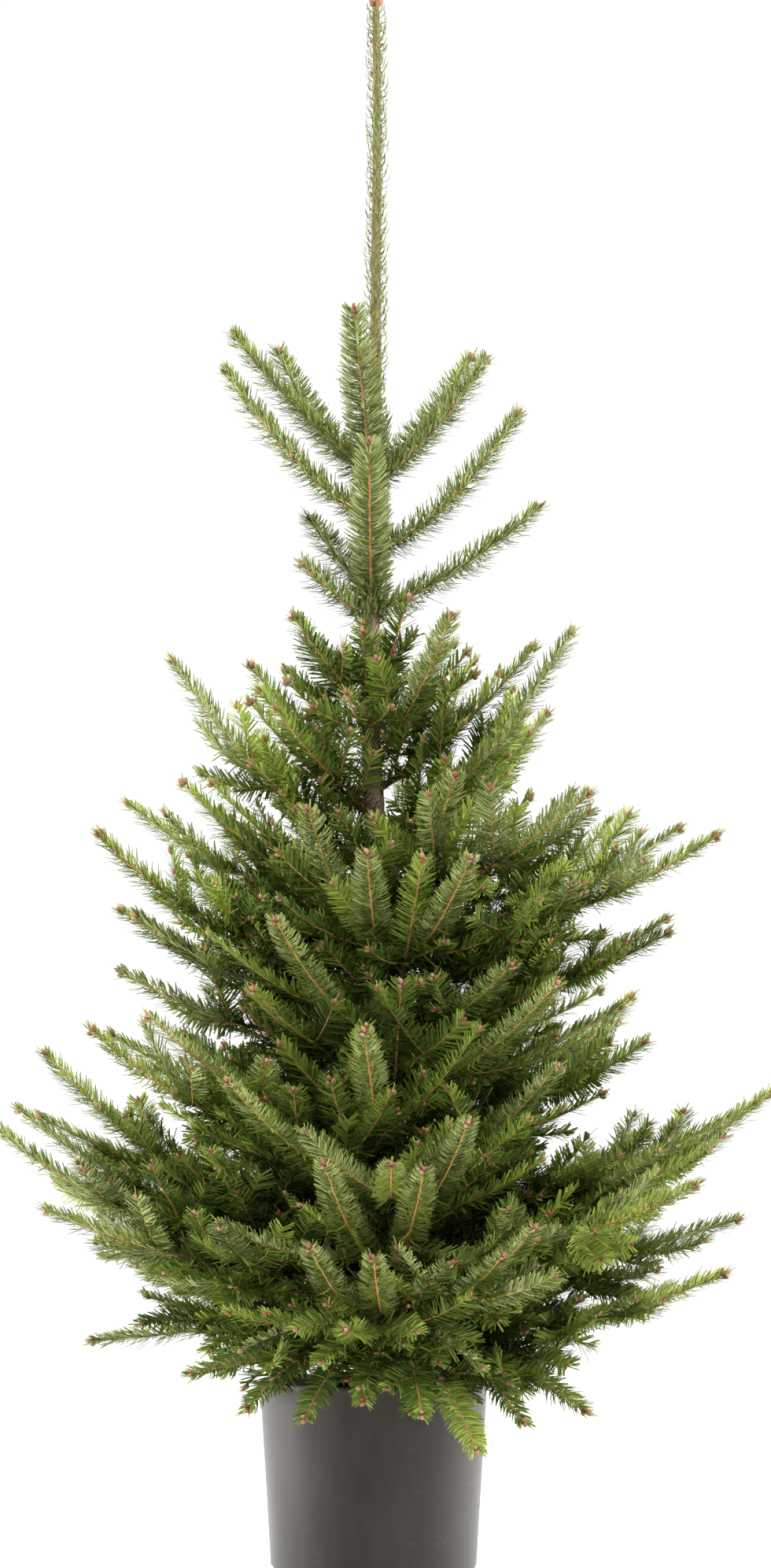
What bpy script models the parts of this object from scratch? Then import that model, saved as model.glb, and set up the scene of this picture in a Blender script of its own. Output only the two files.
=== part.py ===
"""Potted veitch fir: a young whole tree standing in its nursery pot.

Metres, +Z up. The origin is the centre of the pot's flat underside and the front faces -Y.
Every limb and mass of foliage grows from one row of sizes by one seeded rule: a year's growth
ends at a node, where the axis goes on and a pair of side axes leaves it.
"""
import math
import random
from collections import namedtuple

import bmesh
import bpy
from mathutils import Matrix, Vector
from mathutils.bvhtree import BVHTree
from mathutils.geometry import tessellate_polygon

NAME = "potted_veitch_fir"
CLEAR = 0.0003
WELD = 0.00002
UP = Vector((0.0, 0.0, 1.0))

# Pot and compost
POT_HEIGHT = 0.223
POT_RIM_RADIUS = 0.125
POT_FOOT_RADIUS = 0.1112
POT_WALL = 0.0026
POT_FLOOR = 0.004
POT_EDGE = 0.0012
POT_STEPS = 28
SLOT_COUNT = 4
SLOT_FIRST = math.radians(2.0)
SLOT_WIDTH = 0.058
SLOT_DEPTH = 0.030
SLOT_LOW = 0.006
SLOT_HIGH = 0.024
COMPOST_TOP = 0.2045

# Trunk, from its flat cut on the compost to the bud at its tip
TRUNK_FOOT = COMPOST_TOP + CLEAR
TRUNK_TOP = 1.7440
TRUNK_FOOT_RADIUS = 0.0195
TRUNK_TOP_RADIUS = 0.0038
TRUNK_TAPER = 1.4
TRUNK_SIDES = 10
TRUNK_STEP = 0.140
FLARE_STEP = 0.013
FLARE_STEPS = 4
FLARE_RADIUS = 0.0110
FLARE_HEIGHT = 0.022
BUD_RADIUS = 0.0062
BUD_HEIGHT = 0.0130
BUD_PROFILE = ((0.25, 0.8), (0.6, 1.0), (1.0, 0.3))
# Where the trunk's middle stands to the right of the pot's middle, by height
TRUNK_LEAN = (
    (0.20, 0.0185), (0.24, 0.0185), (0.40, 0.020), (0.62, 0.012), (0.82, 0.002), (0.97, -0.005),
    (1.22, 0.001), (1.50, 0.003), (1.64, 0.004), (1.76, 0.002),
)

# Needle sleeve on the leader, the last year's growth of the trunk
SLEEVE_LOW = 1.270
SLEEVE_HIGH = 1.732
SLEEVE_WALL = 0.0020
SLEEVE_SIDES = 8
SLEEVE_FINS = 2
SLEEVE_TEETH = 8
SLEEVE_REACH = 0.0190
SLEEVE_VALLEY = 0.0072
SLEEVE_FIN = 0.0016
SLEEVE_TAPER = 0.86
SLEEVE_TURN = 0.25

# One row for each bough: name, height where it leaves the trunk, azimuth in degrees (0 is +X,
# 270 the front), how far its tip reaches out and rises, sag of its middle as a share of its
# length, years of growth, roll of its spray in degrees, and whether it has a limb of its own.
Bough = namedtuple("Bough", "name height azimuth reach rise sag years roll limb")
BOUGHS = tuple(Bough(*row) for row in (
    ("1a", 1.224, 180, 0.156, 0.152, 0.07, 1, 0, False),
    ("1b", 1.220, 130, 0.172, 0.158, 0.11, 1, 0, False),
    ("1c", 1.166, 190, 0.166, 0.166, 0.09, 1, 0, False),
    ("1d", 1.200, 252, 0.070, 0.192, 0.06, 1, 0, False),
    ("1e", 1.070, 268, 0.070, 0.176, 0.08, 1, 0, False),
    ("1f", 1.222, 46, 0.158, 0.146, 0.07, 1, 0, False),
    ("1g", 1.208, 346, 0.127, 0.134, 0.07, 1, 0, False),
    ("1h", 1.132, 338, 0.172, 0.146, 0.11, 1, 0, False),
    ("1i", 1.064, 12, 0.190, 0.123, 0.05, 1, 0, False),
    ("1j", 1.056, 205, 0.084, 0.060, 0.03, 1, 0, False),
    ("1k", 1.084, 132, 0.104, 0.096, 0.03, 1, 0, False),
    ("2a", 0.964, 298, 0.090, 0.110, 0.06, 2, 20, False),
    ("2b", 0.958, 214, 0.100, 0.098, 0.04, 2, -10, False),
    ("2c", 0.948, 338, 0.124, 0.044, 0.08, 2, 0, False),
    ("2d", 0.968, 52, 0.144, 0.070, 0.05, 2, 10, False),
    ("2e", 0.944, 152, 0.108, 0.062, 0.05, 2, 0, False),
    ("2f", 0.930, 258, 0.120, 0.036, 0.08, 2, 0, False),
    ("3a", 0.786, 182, 0.226, 0.226, 0.09, 3, 12, False),
    ("3b", 0.770, 356, 0.214, 0.272, 0.05, 3, -12, False),
    ("3c", 0.704, 336, 0.392, 0.106, 0.08, 4, 16, True),
    ("3d", 0.700, 196, 0.318, 0.116, 0.15, 4, -24, True),
    ("3e", 0.738, 314, 0.318, 0.113, 0.06, 3, 0, False),
    ("3f", 0.770, 47, 0.284, 0.200, 0.06, 3, -24, False),
    ("3g", 0.750, 150, 0.330, 0.114, 0.09, 3, 10, False),
    ("3h", 0.600, 186, 0.290, 0.068, 0.09, 3, 20, False),
    ("3i", 0.612, 352, 0.312, 0.098, 0.06, 4, 12, False),
    ("3j", 0.604, 298, 0.280, 0.066, 0.07, 3, 0, False),
    ("3k", 0.644, 170, 0.296, 0.094, 0.10, 3, -20, False),
    ("4a", 0.400, 190, 0.446, 0.108, 0.15, 4, 8, True),
    ("4b", 0.486, 216, 0.385, 0.116, 0.11, 4, -24, True),
    ("4c", 0.424, 6, 0.448, 0.130, 0.13, 4, 6, True),
    ("4d", 0.384, 318, 0.422, 0.058, 0.08, 4, 20, False),
    ("4e", 0.506, 106, 0.430, 0.090, 0.08, 4, 0, False),
    ("4f", 0.518, 228, 0.370, 0.098, 0.10, 3, 0, False),
    ("4g", 0.500, 42, 0.378, 0.146, 0.11, 4, -2, False),
    ("4h", 0.436, 270, 0.400, 0.030, 0.06, 3, 0, False),
    ("4i", 0.462, 162, 0.408, 0.118, 0.19, 4, -10, False),
    ("4j", 0.424, 176, 0.412, 0.094, 0.15, 4, 8, False),
    ("5a", 0.340, 204, 0.400, 0.073, 0.06, 4, 0, True),
    ("5b", 0.292, 344, 0.372, 0.051, 0.08, 4, 10, True),
    ("5c", 0.347, 18, 0.409, 0.046, 0.05, 4, 8, False),
    ("5d", 0.300, 138, 0.410, 0.060, 0.08, 3, 10, False),
    ("5e", 0.300, 262, 0.330, -0.004, 0.03, 3, 0, False),
    ("5f", 0.316, 289, 0.350, 0.056, 0.08, 3, 0, False),
    ("5g", 0.296, 170, 0.336, -0.034, 0.00, 3, 0, False),
    ("5h", 0.268, 324, 0.255, -0.068, -0.08, 3, 0, False),
    ("5i", 0.272, 290, 0.260, -0.105, -0.09, 3, 0, False),
    ("5j", 0.258, 214, 0.254, -0.020, -0.03, 3, 0, False),
    ("5k", 0.300, 76, 0.400, 0.060, 0.06, 3, 0, False),
))

# Growth rule
YEAR_SHARES = (1.0, 0.60, 0.52, 0.46)
LIMB_SHARE = 0.30
SIDE_SHARE = 0.72
SIDE_SPREAD = (0.82, 1.12)
SIDE_TURN = (44.0, 60.0)
SIDE_SCATTER = 0.34
SIDE_LIFTS = ((0.30, 0.24), (0.50, 0.42), (0.72, 0.52))
SIDE_DROOP = -0.12
SIDE_SAG = 0.07
SIDE_KEEP = 0.80
SPRAY_ROLL = 34.0
SHORTEST = 0.034
SPRAY_ORDER = 1
CROWN = (
    (0.16, 0.300), (0.30, 0.405), (0.50, 0.480), (0.62, 0.430), (0.82, 0.400),
    (0.90, 0.330), (1.02, 0.250), (1.20, 0.215), (1.45, 0.180),
)

# Limbs, twigs and sprays of needles
LIMB_END = 0.24
LIMB_ROOT_RADIUS = 0.0066
LIMB_TIP_RADIUS = 0.0050
LIMB_SIDES = 6
LIMB_STEPS = 4
STEM_SIDES = 4
TWIG_RADIUS = 0.0018
TWIG_YEAR = 0.0008
TWIG_SUNK = 0.0030
STEM_PAST = 0.0012
NEEDLE_REACH = 0.0150
SPRAY_THICK = 0.0024
SPRAY_ROOT = 0.0020
SPRAY_VALLEY = 0.36
VALLEY_FALL = 0.3
SPRAY_TAPER = 0.62
SPRAY_WIDE = 0.20
TWIG_PITCH = 0.066
TOOTH_SWEEP = 0.80
TIP_PITCHES = 0.2
TAPER_POWER = 1.3
LEAD_TEETH = 3
LONG_LEAD = 0.150
SIDE_TEETH = 2
OLD_TEETH = 3
CROSS_BACK = 0.0045
KEEP_OFF = 0.0007
SEAT_STEP = 0.0001
SEAT_CORNERS = 16
SEAT_SPARE = 1.06

Axis = namedtuple("Axis", "start span sag length")
Shoot = namedtuple("Shoot", "start end across age order parent")


def between(pairs, value):
    """Read a value off straight lines between pairs of numbers."""
    for (low, first), (high, second) in zip(pairs, pairs[1:]):
        if value <= high:
            share = max(0.0, (value - low) / (high - low))
            return first + (second - first) * share
    return pairs[-1][1]


def trunk_middle(height):
    return Vector((between(TRUNK_LEAN, height), 0.0, height))


def trunk_radius(height):
    share = max(0.0, (TRUNK_TOP - height) / (TRUNK_TOP - TRUNK_FOOT))
    taper = (TRUNK_FOOT_RADIUS - TRUNK_TOP_RADIUS) * share ** TRUNK_TAPER
    flare = FLARE_RADIUS * math.exp((TRUNK_FOOT - height) / FLARE_HEIGHT)
    return TRUNK_TOP_RADIUS + taper + flare


def axis_point(axis, share):
    """A point of an axis: a straight span that sags in its middle, so that its tip turns up."""
    sag = axis.sag * axis.length * 4.0 * share * (1.0 - share)
    return axis.start + axis.span * share - UP * sag


def bough_axis(bough):
    turn = math.radians(bough.azimuth)
    span = Vector((math.cos(turn) * bough.reach, math.sin(turn) * bough.reach, bough.rise))
    return Axis(trunk_middle(bough.height), span, bough.sag, span.length)


def inside_crown(point):
    return math.hypot(point.x, point.y) < between(CROWN, point.z)


def year_ends(years, first_share):
    """Shares of an axis at which each year's growth ends, the oldest first."""
    shares = list(reversed(YEAR_SHARES[:years]))
    if first_share and years > 1:
        shares[0] = first_share * sum(shares[1:]) / (1.0 - first_share)
    total = sum(shares)
    ends = [0.0]
    for share in shares:
        ends.append(ends[-1] + share / total)
    return ends


def grow(label, axis, years, normal, lift, order, parent, shoots, first_share=0.0):
    """Add an axis to the list of shoots: a shoot for each year, and side axes from its nodes.

    Each axis draws from a dice of its own, named by its place, so a side axis that stands as one
    spray here can be grown on elsewhere with nothing else changed.
    """
    dice = random.Random(label)
    if order == SPRAY_ORDER:
        ahead = axis.span.normalized()
        face = normal.cross(ahead).normalized()
        shoots.append(Shoot(axis.start, axis.start + axis.span, face, years, order, parent))
        return
    ends = year_ends(years, first_share)
    for year in range(years):
        start = axis_point(axis, ends[year])
        end = axis_point(axis, ends[year + 1])
        ahead = (end - start).normalized()
        across = normal.cross(ahead).normalized()
        shoots.append(Shoot(start, end, across, years - year, order, parent))
        parent = len(shoots) - 1
        left = years - year - 1
        if not left:
            continue
        for side in (-1.0, 1.0):
            turn = math.radians(dice.uniform(*SIDE_TURN))
            length = axis.length * (1.0 - ends[year + 1]) * SIDE_SHARE
            length *= dice.uniform(*SIDE_SPREAD)
            tilt = UP * lift + normal * dice.uniform(-SIDE_SCATTER, SIDE_SCATTER)
            aim = ahead * math.cos(turn) + across * side * math.sin(turn) + tilt
            keep = dice.random() < SIDE_KEEP or order == 0
            roll = math.radians(dice.uniform(-SPRAY_ROLL, SPRAY_ROLL))
            span = aim.normalized() * length
            if keep and length > SHORTEST and inside_crown(end + span):
                side_label = f"{label}{year}{'l' if side < 0.0 else 'r'}"
                side_axis = Axis(end, span, SIDE_SAG if lift > 0.0 else -SIDE_SAG, length)
                side_normal = Matrix.Rotation(roll, 3, aim.normalized()) @ normal
                grow(side_label, side_axis, left, side_normal, lift, order + 1, parent, shoots)


def bough_shoots(bough):
    """All the shoots of a bough, its own axis first."""
    axis = bough_axis(bough)
    outward = axis.span.normalized()
    sideways = outward.cross(UP).normalized()
    level = sideways.cross(outward)
    normal = Matrix.Rotation(math.radians(bough.roll), 3, outward) @ level
    lift = between(SIDE_LIFTS, bough.height) if bough.rise > 0.0 else SIDE_DROOP
    first_share = LIMB_SHARE if bough.years > 2 else 0.0
    shoots = []
    grow(bough.name, axis, bough.years, normal, lift, 0, -1, shoots, first_share)
    return shoots


def add_object(name, mesh, group, location=None):
    made = bpy.data.objects.new(name, mesh)
    group.objects.link(made)
    if location:
        made.location = location
    return made


def curve_object(name, points, group, radius=0.0, sides=0, closed=False, thick=0.0, radii=None):
    """A POLY curve: a tube of that many sides, or a flat outline of that thickness."""
    data = bpy.data.curves.new(name, "CURVE")
    data.dimensions = "2D" if closed else "3D"
    data.fill_mode = "BOTH" if closed else "FULL"
    data.extrude = thick / 2.0
    data.bevel_depth = radius
    data.bevel_resolution = max(0, sides // 2 - 2)
    data.use_fill_caps = not closed
    spline = data.splines.new("POLY")
    spline.points.add(len(points) - 1)
    for index, point in enumerate(points):
        spline.points[index].co = (*point, 0.0, 1.0) if closed else (*point, 1.0)
        spline.points[index].radius = radii[index] if radii else 1.0
    spline.use_cyclic_u = closed
    return add_object(name, data, group)


def to_meshes(curves, group):
    """Swap curve objects for welded mesh objects of the same names and places."""
    graph = bpy.context.evaluated_depsgraph_get()
    made = []
    for curve in curves:
        mesh = bpy.data.meshes.new_from_object(curve.evaluated_get(graph))
        shape = bmesh.new()
        shape.from_mesh(mesh)
        bmesh.ops.remove_doubles(shape, verts=shape.verts, dist=WELD)
        bmesh.ops.recalc_face_normals(shape, faces=shape.faces)
        shape.to_mesh(mesh)
        shape.free()
        swapped = add_object(curve.name + "_mesh", mesh, group)
        swapped.matrix_world = curve.matrix_world.copy()
        made.append(swapped)
        bpy.data.objects.remove(curve)
    return made


def join(name, pieces, group, operation="UNION"):
    """One solid from many: the first piece with the rest, in one Boolean on a collection."""
    tools = bpy.data.collections.new(name + "_pieces")
    bpy.context.scene.collection.children.link(tools)
    for piece in pieces[1:]:
        tools.objects.link(piece)
    boolean = pieces[0].modifiers.new("join", "BOOLEAN")
    boolean.operation = operation
    boolean.solver = "MANIFOLD"
    boolean.operand_type = "COLLECTION"
    boolean.collection = tools
    graph = bpy.context.evaluated_depsgraph_get()
    mesh = bpy.data.meshes.new_from_object(pieces[0].evaluated_get(graph))
    mesh.transform(pieces[0].matrix_world)
    for piece in pieces:
        bpy.data.objects.remove(piece)
    bpy.data.collections.remove(tools)
    mesh.name = name
    return add_object(name, mesh, group)


def loose_bodies(shape):
    """Groups of faces that hang together."""
    unseen = set(shape.faces)
    while unseen:
        group = [unseen.pop()]
        for face in group:
            for edge in face.edges:
                for other in edge.link_faces:
                    if other in unseen:
                        unseen.discard(other)
                        group.append(other)
        yield group


def keep_one_body(made):
    """Drop loose scraps and fill sealed hollows, so that one outer skin is left."""
    shape = bmesh.new()
    shape.from_mesh(made.data)
    bmesh.ops.triangulate(shape, faces=shape.faces)
    bodies = sorted(loose_bodies(shape), key=len)
    for body in bodies[:-1]:
        bmesh.ops.delete(shape, geom=body, context="FACES")
    loose = [vert for vert in shape.verts if not vert.link_faces]
    bmesh.ops.delete(shape, geom=loose, context="VERTS")
    shape.to_mesh(made.data)
    shape.free()


def turned(name, profile, group, steps=POT_STEPS):
    """A solid turned about Z from a profile that runs down its outer side."""
    mesh = bpy.data.meshes.new(name)
    edges = [(index, index + 1) for index in range(len(profile) - 1)]
    mesh.from_pydata([(radius, 0.0, height) for radius, height in profile], edges, [])
    made = add_object(name, mesh, group)
    screw = made.modifiers.new("turn", "SCREW")
    screw.steps = steps
    screw.render_steps = steps
    screw.use_merge_vertices = True
    screw.merge_threshold = WELD
    return made


def make_pot(group, cutters):
    """A thin tapered pot with a level floor, a rounded rim and drain slots round its foot."""
    inner_rim = POT_RIM_RADIUS - POT_WALL
    pot = turned("pot", (
        (0.0, POT_FLOOR),
        (POT_FOOT_RADIUS - POT_WALL, POT_FLOOR),
        (inner_rim, POT_HEIGHT - POT_EDGE),
        (inner_rim + POT_EDGE / 2.0, POT_HEIGHT),
        (POT_RIM_RADIUS - POT_EDGE / 2.0, POT_HEIGHT),
        (POT_RIM_RADIUS, POT_HEIGHT - POT_EDGE),
        (POT_FOOT_RADIUS, POT_EDGE),
        (POT_FOOT_RADIUS - POT_EDGE, 0.0),
        (0.0, 0.0),
    ), group)
    for slot in range(SLOT_COUNT):
        turn = SLOT_FIRST + math.tau * slot / SLOT_COUNT
        out = POT_FOOT_RADIUS
        place = (math.cos(turn) * out, math.sin(turn) * out, (SLOT_LOW + SLOT_HIGH) / 2.0)
        bpy.ops.mesh.primitive_cube_add(size=1.0, location=place, rotation=(0.0, 0.0, turn))
        cutter = bpy.context.object
        cutter.name = f"slot_cutter_{slot + 1}"
        cutter.scale = (SLOT_DEPTH, SLOT_WIDTH, SLOT_HIGH - SLOT_LOW)
        cutter.users_collection[0].objects.unlink(cutter)
        cutters.objects.link(cutter)
        cutter.display_type = "WIRE"
        cutter.hide_render = True
        cut = pot.modifiers.new(f"slot_{slot + 1}", "BOOLEAN")
        cut.operation = "DIFFERENCE"
        cut.object = cutter
    return pot


def pot_inner_radius(height):
    share = (height - POT_EDGE) / (POT_HEIGHT - 2.0 * POT_EDGE)
    return POT_FOOT_RADIUS + (POT_RIM_RADIUS - POT_FOOT_RADIUS) * share - POT_WALL


def make_compost(group):
    """The compost that fills the pot to just under its rim, clear of the wall and the floor."""
    low = POT_FLOOR + CLEAR
    return turned("compost", (
        (0.0, COMPOST_TOP),
        (pot_inner_radius(COMPOST_TOP) - 2.0 * CLEAR, COMPOST_TOP),
        (pot_inner_radius(low) - 2.0 * CLEAR, low),
        (0.0, low),
    ), group)


def trunk_line(low, high, extra):
    """Points and radii up the trunk's middle, closer together in the flare of its foot."""
    points = []
    radii = []
    height = low
    while height < high:
        points.append(trunk_middle(height))
        radii.append(trunk_radius(height) + extra)
        height += TRUNK_STEP if height > TRUNK_FOOT + FLARE_STEPS * FLARE_STEP else FLARE_STEP
    points.append(trunk_middle(high))
    radii.append(trunk_radius(high) + extra)
    return points, radii


def make_trunk(group):
    """The whole trunk, from its flat cut on the compost to the bud at the leader's tip."""
    points, radii = trunk_line(TRUNK_FOOT, TRUNK_TOP, 0.0)
    tip = points[-1]
    for rise, radius in BUD_PROFILE:
        points.append(tip + UP * BUD_HEIGHT * rise)
        radii.append(BUD_RADIUS * radius)
    curve = curve_object("trunk_line", points, group, 1.0, TRUNK_SIDES, radii=radii)
    trunk = to_meshes([curve], group)[0]
    trunk.name = "trunk"
    return trunk


def toothed_edge(length, teeth, root, valley, reach, taper):
    """One side of a toothed blade, root to tip: needles fused into teeth that lean forward."""
    pitch = length / (teeth + TIP_PITCHES)
    edge = [(0.0, root)]
    for tooth in range(teeth):
        share = tooth / max(1, teeth - 1)
        wide = reach * (1.0 + (taper - 1.0) * share ** TAPER_POWER)
        edge.append(((tooth + TOOTH_SWEEP) * pitch, wide))
        if tooth < teeth - 1:
            edge.append(((tooth + 1.0) * pitch, valley * (1.0 - VALLEY_FALL * share * share)))
    return edge


def spray_outline(length, age, order, extra=0.0):
    """A spray's toothed outline: needles on one shoot, or side shoots too where it is older."""
    teeth = LEAD_TEETH if order == 0 and length > LONG_LEAD else SIDE_TEETH
    reach = NEEDLE_REACH
    taper = SPRAY_TAPER
    if age > 1 and order:
        teeth = max(2, min(OLD_TEETH, round(length / TWIG_PITCH)))
        reach = max(NEEDLE_REACH, length * SPRAY_WIDE)
        taper = NEEDLE_REACH * SPRAY_TAPER / reach
    valley = NEEDLE_REACH * SPRAY_VALLEY + extra
    edge = toothed_edge(length + extra, teeth, SPRAY_ROOT + extra, valley, reach + extra, taper)
    return edge + [(length + extra, 0.0)] + [(along, -out) for along, out in reversed(edge)]


def spray_frame(start, end, face):
    ahead = (end - start).normalized()
    across = (face - ahead * face.dot(ahead)).normalized()
    turn = Matrix((ahead, across, ahead.cross(across))).transposed().to_4x4()
    return Matrix.Translation(start) @ turn


def spray_curve(name, start, end, face, shoot, group):
    """A spray of needles: a flat toothed outline along a shoot, its teeth across in its face."""
    outline = spray_outline((end - start).length, shoot.age, shoot.order)
    curve = curve_object(name, outline, group, closed=True, thick=SPRAY_THICK)
    curve.matrix_world = spray_frame(start, end, face)
    return curve


def twig_radius(age):
    return TWIG_RADIUS + TWIG_YEAR * age


def outline_tree(outline, thick, frame):
    """A search tree of a thickened flat outline."""
    count = len(outline)
    points = [frame @ Vector((along, out, thick)) for along, out in outline]
    points += [frame @ Vector((along, out, -thick)) for along, out in outline]
    flat = [Vector((along, out, 0.0)) for along, out in outline]
    faces = []
    for corner in tessellate_polygon([flat]):
        faces.append(tuple(corner))
        faces.append(tuple(index + count for index in corner))
    for index in range(count):
        after = (index + 1) % count
        faces.append((index, after, after + count, index + count))
    return BVHTree.FromPolygons(points, faces)


def is_crossed(bough):
    """A bough of one shoot has a second spray square to the first."""
    return bough.years == 1


def has_spray(bough, shoot):
    """Side axes have sprays, and so has the last growth of a bough, or two years of an old one."""
    return shoot.order > 0 or shoot.age == 1 or (shoot.age == 2 and bough.years > 3)


def shoot_trees(bough, shoot):
    """Search trees of a shoot's solids with a little to spare, to keep it off its neighbours."""
    length = (shoot.end - shoot.start).length
    frame = spray_frame(shoot.start, shoot.end, shoot.across)
    trees = []
    if shoot.order == 0 and shoot.age > 1:
        radius = twig_radius(shoot.age) + KEEP_OFF
        outline = ((0.0, radius), (length, radius), (length, -radius), (0.0, -radius))
        trees.append(outline_tree(outline, radius, frame))
    outline = spray_outline(length, shoot.age, shoot.order, KEEP_OFF)
    thick = SPRAY_THICK / 2.0 + KEEP_OFF
    if has_spray(bough, shoot):
        trees.append(outline_tree(outline, thick, frame))
    if is_crossed(bough):
        square = (shoot.end - shoot.start).normalized().cross(shoot.across)
        frame = spray_frame(shoot.start, shoot.end, square)
        trees.append(outline_tree(outline, thick, frame))
    return trees


def tree_of(made):
    graph = bpy.context.evaluated_depsgraph_get()
    shape = bmesh.new()
    shape.from_object(made, graph)
    shape.transform(made.matrix_world)
    tree = BVHTree.FromBMesh(shape)
    shape.free()
    return tree


def stands_clear(point, carrier):
    near, outward, face, distance = carrier.find_nearest(point)
    return distance > CLEAR and (point - near).dot(outward) > 0.0


def seat_share(axis, share, until, steps, wide, thick, carrier):
    """The share of an axis at which a flat end stands clear of its carrier.

    The end is an oval of those half sizes, level and upright, on a line that runs on in so many
    equal steps until another share.
    """
    while share < until:
        middle = axis_point(axis, share)
        ahead = (axis_point(axis, share + (until - share) / steps) - middle).normalized()
        level = ahead.cross(UP).normalized()
        around = [middle]
        for corner in range(SEAT_CORNERS):
            turn = math.tau * corner / SEAT_CORNERS
            out = level * wide * math.cos(turn) + level.cross(ahead) * thick * math.sin(turn)
            around.append(middle + out)
        if all(stands_clear(point, carrier) for point in around):
            return share
        share += SEAT_STEP / axis.length
    return share


def make_limb(bough, axis, carrier, group):
    """A bough's own limb: a tapering tube from the trunk to where it enters its mass."""
    wide = LIMB_ROOT_RADIUS * SEAT_SPARE
    first = seat_share(axis, 0.0, LIMB_END, LIMB_STEPS - 1, wide, wide, carrier)
    points = []
    radii = []
    for step in range(LIMB_STEPS):
        share = step / (LIMB_STEPS - 1)
        points.append(axis_point(axis, first + (LIMB_END - first) * share))
        radii.append(LIMB_ROOT_RADIUS + (LIMB_TIP_RADIUS - LIMB_ROOT_RADIUS) * share)
    curve = curve_object("limb", points, group, 1.0, LIMB_SIDES, radii=radii)
    limb = to_meshes([curve], group)[0]
    limb.name = f"bough_{bough.name}"
    return limb


def seated_shoots(bough, limbs, trunk_tree):
    """The shoots of a bough, with its stem cut back clear of the limb or trunk that bears it."""
    axis = bough_axis(bough)
    shoots = bough_shoots(bough)
    wide = twig_radius(bough.years) if bough.years > 1 else SPRAY_ROOT
    thick = wide if bough.years > 1 else SPRAY_THICK / 2.0
    node = year_ends(bough.years, LIMB_SHARE if bough.years > 2 else 0.0)[1]
    if bough.limb:
        limb_tree = tree_of(limbs[bough.name])
        share = seat_share(axis, LIMB_END, node, 1, wide, thick, limb_tree)
    else:
        share = seat_share(axis, 0.0, node, 1, wide, thick, trunk_tree)
    shoots[0] = shoots[0]._replace(start=axis_point(axis, share))
    return shoots


def mass_pieces(bough, shoots, kept, group):
    """The stem and toothed sprays of one mass, sunk into one another, ready to be joined."""
    curves = []
    points = []
    radii = []
    for index, shoot in enumerate(shoots):
        if index not in kept:
            continue
        ahead = (shoot.end - shoot.start).normalized()
        if shoot.order == 0 and shoot.age > 1:
            if not points:
                points.append(shoot.start)
                radii.append(twig_radius(shoot.age))
            points.append(shoot.end)
            radii.append(twig_radius(shoot.age - 1))
            last = ahead
        if not has_spray(bough, shoot):
            continue
        label = f"piece_{bough.name}_{index}"
        face = shoot.across
        sunk = TWIG_SUNK if shoot.order == 0 and index else 0.0
        root = shoot.start - ahead * sunk
        end = shoot.end if shoot.age == 1 or shoot.order else shoot.end - ahead * CROSS_BACK
        curves.append(spray_curve(label, root, end, face, shoot, group))
        if is_crossed(bough):
            root = root + ahead * CROSS_BACK
            end = shoot.end - ahead * CROSS_BACK
            curves.append(spray_curve(label + "_up", root, end, ahead.cross(face), shoot, group))
    if points:
        points[-1] = points[-1] + last * STEM_PAST
        stem = curve_object(f"stem_{bough.name}", points, group, 1.0, STEM_SIDES, radii=radii)
        curves.insert(0, stem)
    return to_meshes(curves, group)


def keep_shoots(boughs, carriers):
    """Choose the shoots of every mass, the main ones first, that touch no limb and no mass."""
    waiting = []
    for bough, shoots in boughs:
        for index, shoot in enumerate(shoots):
            waiting.append((shoot.order, -shoot.age, index, bough, shoot))
    waiting.sort(key=lambda item: item[:4])
    kept = {bough.name: set() for bough, shoots in boughs}
    taken = []
    for _, _, index, bough, shoot in waiting:
        if index and shoot.parent not in kept[bough.name]:
            continue
        middle = (shoot.start + shoot.end) / 2.0
        size = (shoot.end - shoot.start).length / 2.0 * (1.0 + SPRAY_WIDE) + NEEDLE_REACH
        trees = shoot_trees(bough, shoot)
        near = [other for owner, place, far, others in taken for other in others
                if owner != bough.name and (place - middle).length < far + size]
        solid = carriers if index else []
        if any(tree.overlap(other) for tree in trees for other in near + solid):
            continue
        kept[bough.name].add(index)
        taken.append((bough.name, middle, size, trees))
    return kept


def make_sleeve(group, pieces):
    """Needles round the leader: toothed fins on a thin tube, cut clear of the trunk inside."""
    points, radii = trunk_line(SLEEVE_LOW, SLEEVE_HIGH, CLEAR + SLEEVE_WALL)
    tube = curve_object("sleeve", points, pieces, 1.0, SLEEVE_SIDES, radii=radii)
    low = points[0]
    high = points[-1]
    length = (high - low).length
    fins = []
    taper = SLEEVE_TAPER
    edge = toothed_edge(length, SLEEVE_TEETH, SLEEVE_VALLEY, SLEEVE_VALLEY, SLEEVE_REACH, taper)
    outline = edge + [(along, -out) for along, out in reversed(edge)]
    ahead = (high - low).normalized()
    for fin in range(SLEEVE_FINS):
        turn = math.pi * (fin + SLEEVE_TURN) / SLEEVE_FINS
        across = Vector((math.cos(turn), math.sin(turn), 0.0))
        across = (across - ahead * across.dot(ahead)).normalized()
        curve = curve_object(f"fin_{fin}", outline, pieces, closed=True, thick=SLEEVE_FIN)
        frame = Matrix((ahead, across, ahead.cross(across))).transposed().to_4x4()
        curve.matrix_world = Matrix.Translation(low) @ frame
        fins.append(curve)
    points, radii = trunk_line(TRUNK_FOOT, TRUNK_TOP, CLEAR)
    core = curve_object("core", points, pieces, 1.0, TRUNK_SIDES, radii=radii)
    solid = join("sleeve_solid", to_meshes([tube] + fins, pieces), pieces)
    core = to_meshes([core], pieces)[0]
    sleeve = join("leader_needles", [solid, core], group, "DIFFERENCE")
    keep_one_body(sleeve)
    return sleeve


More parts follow.
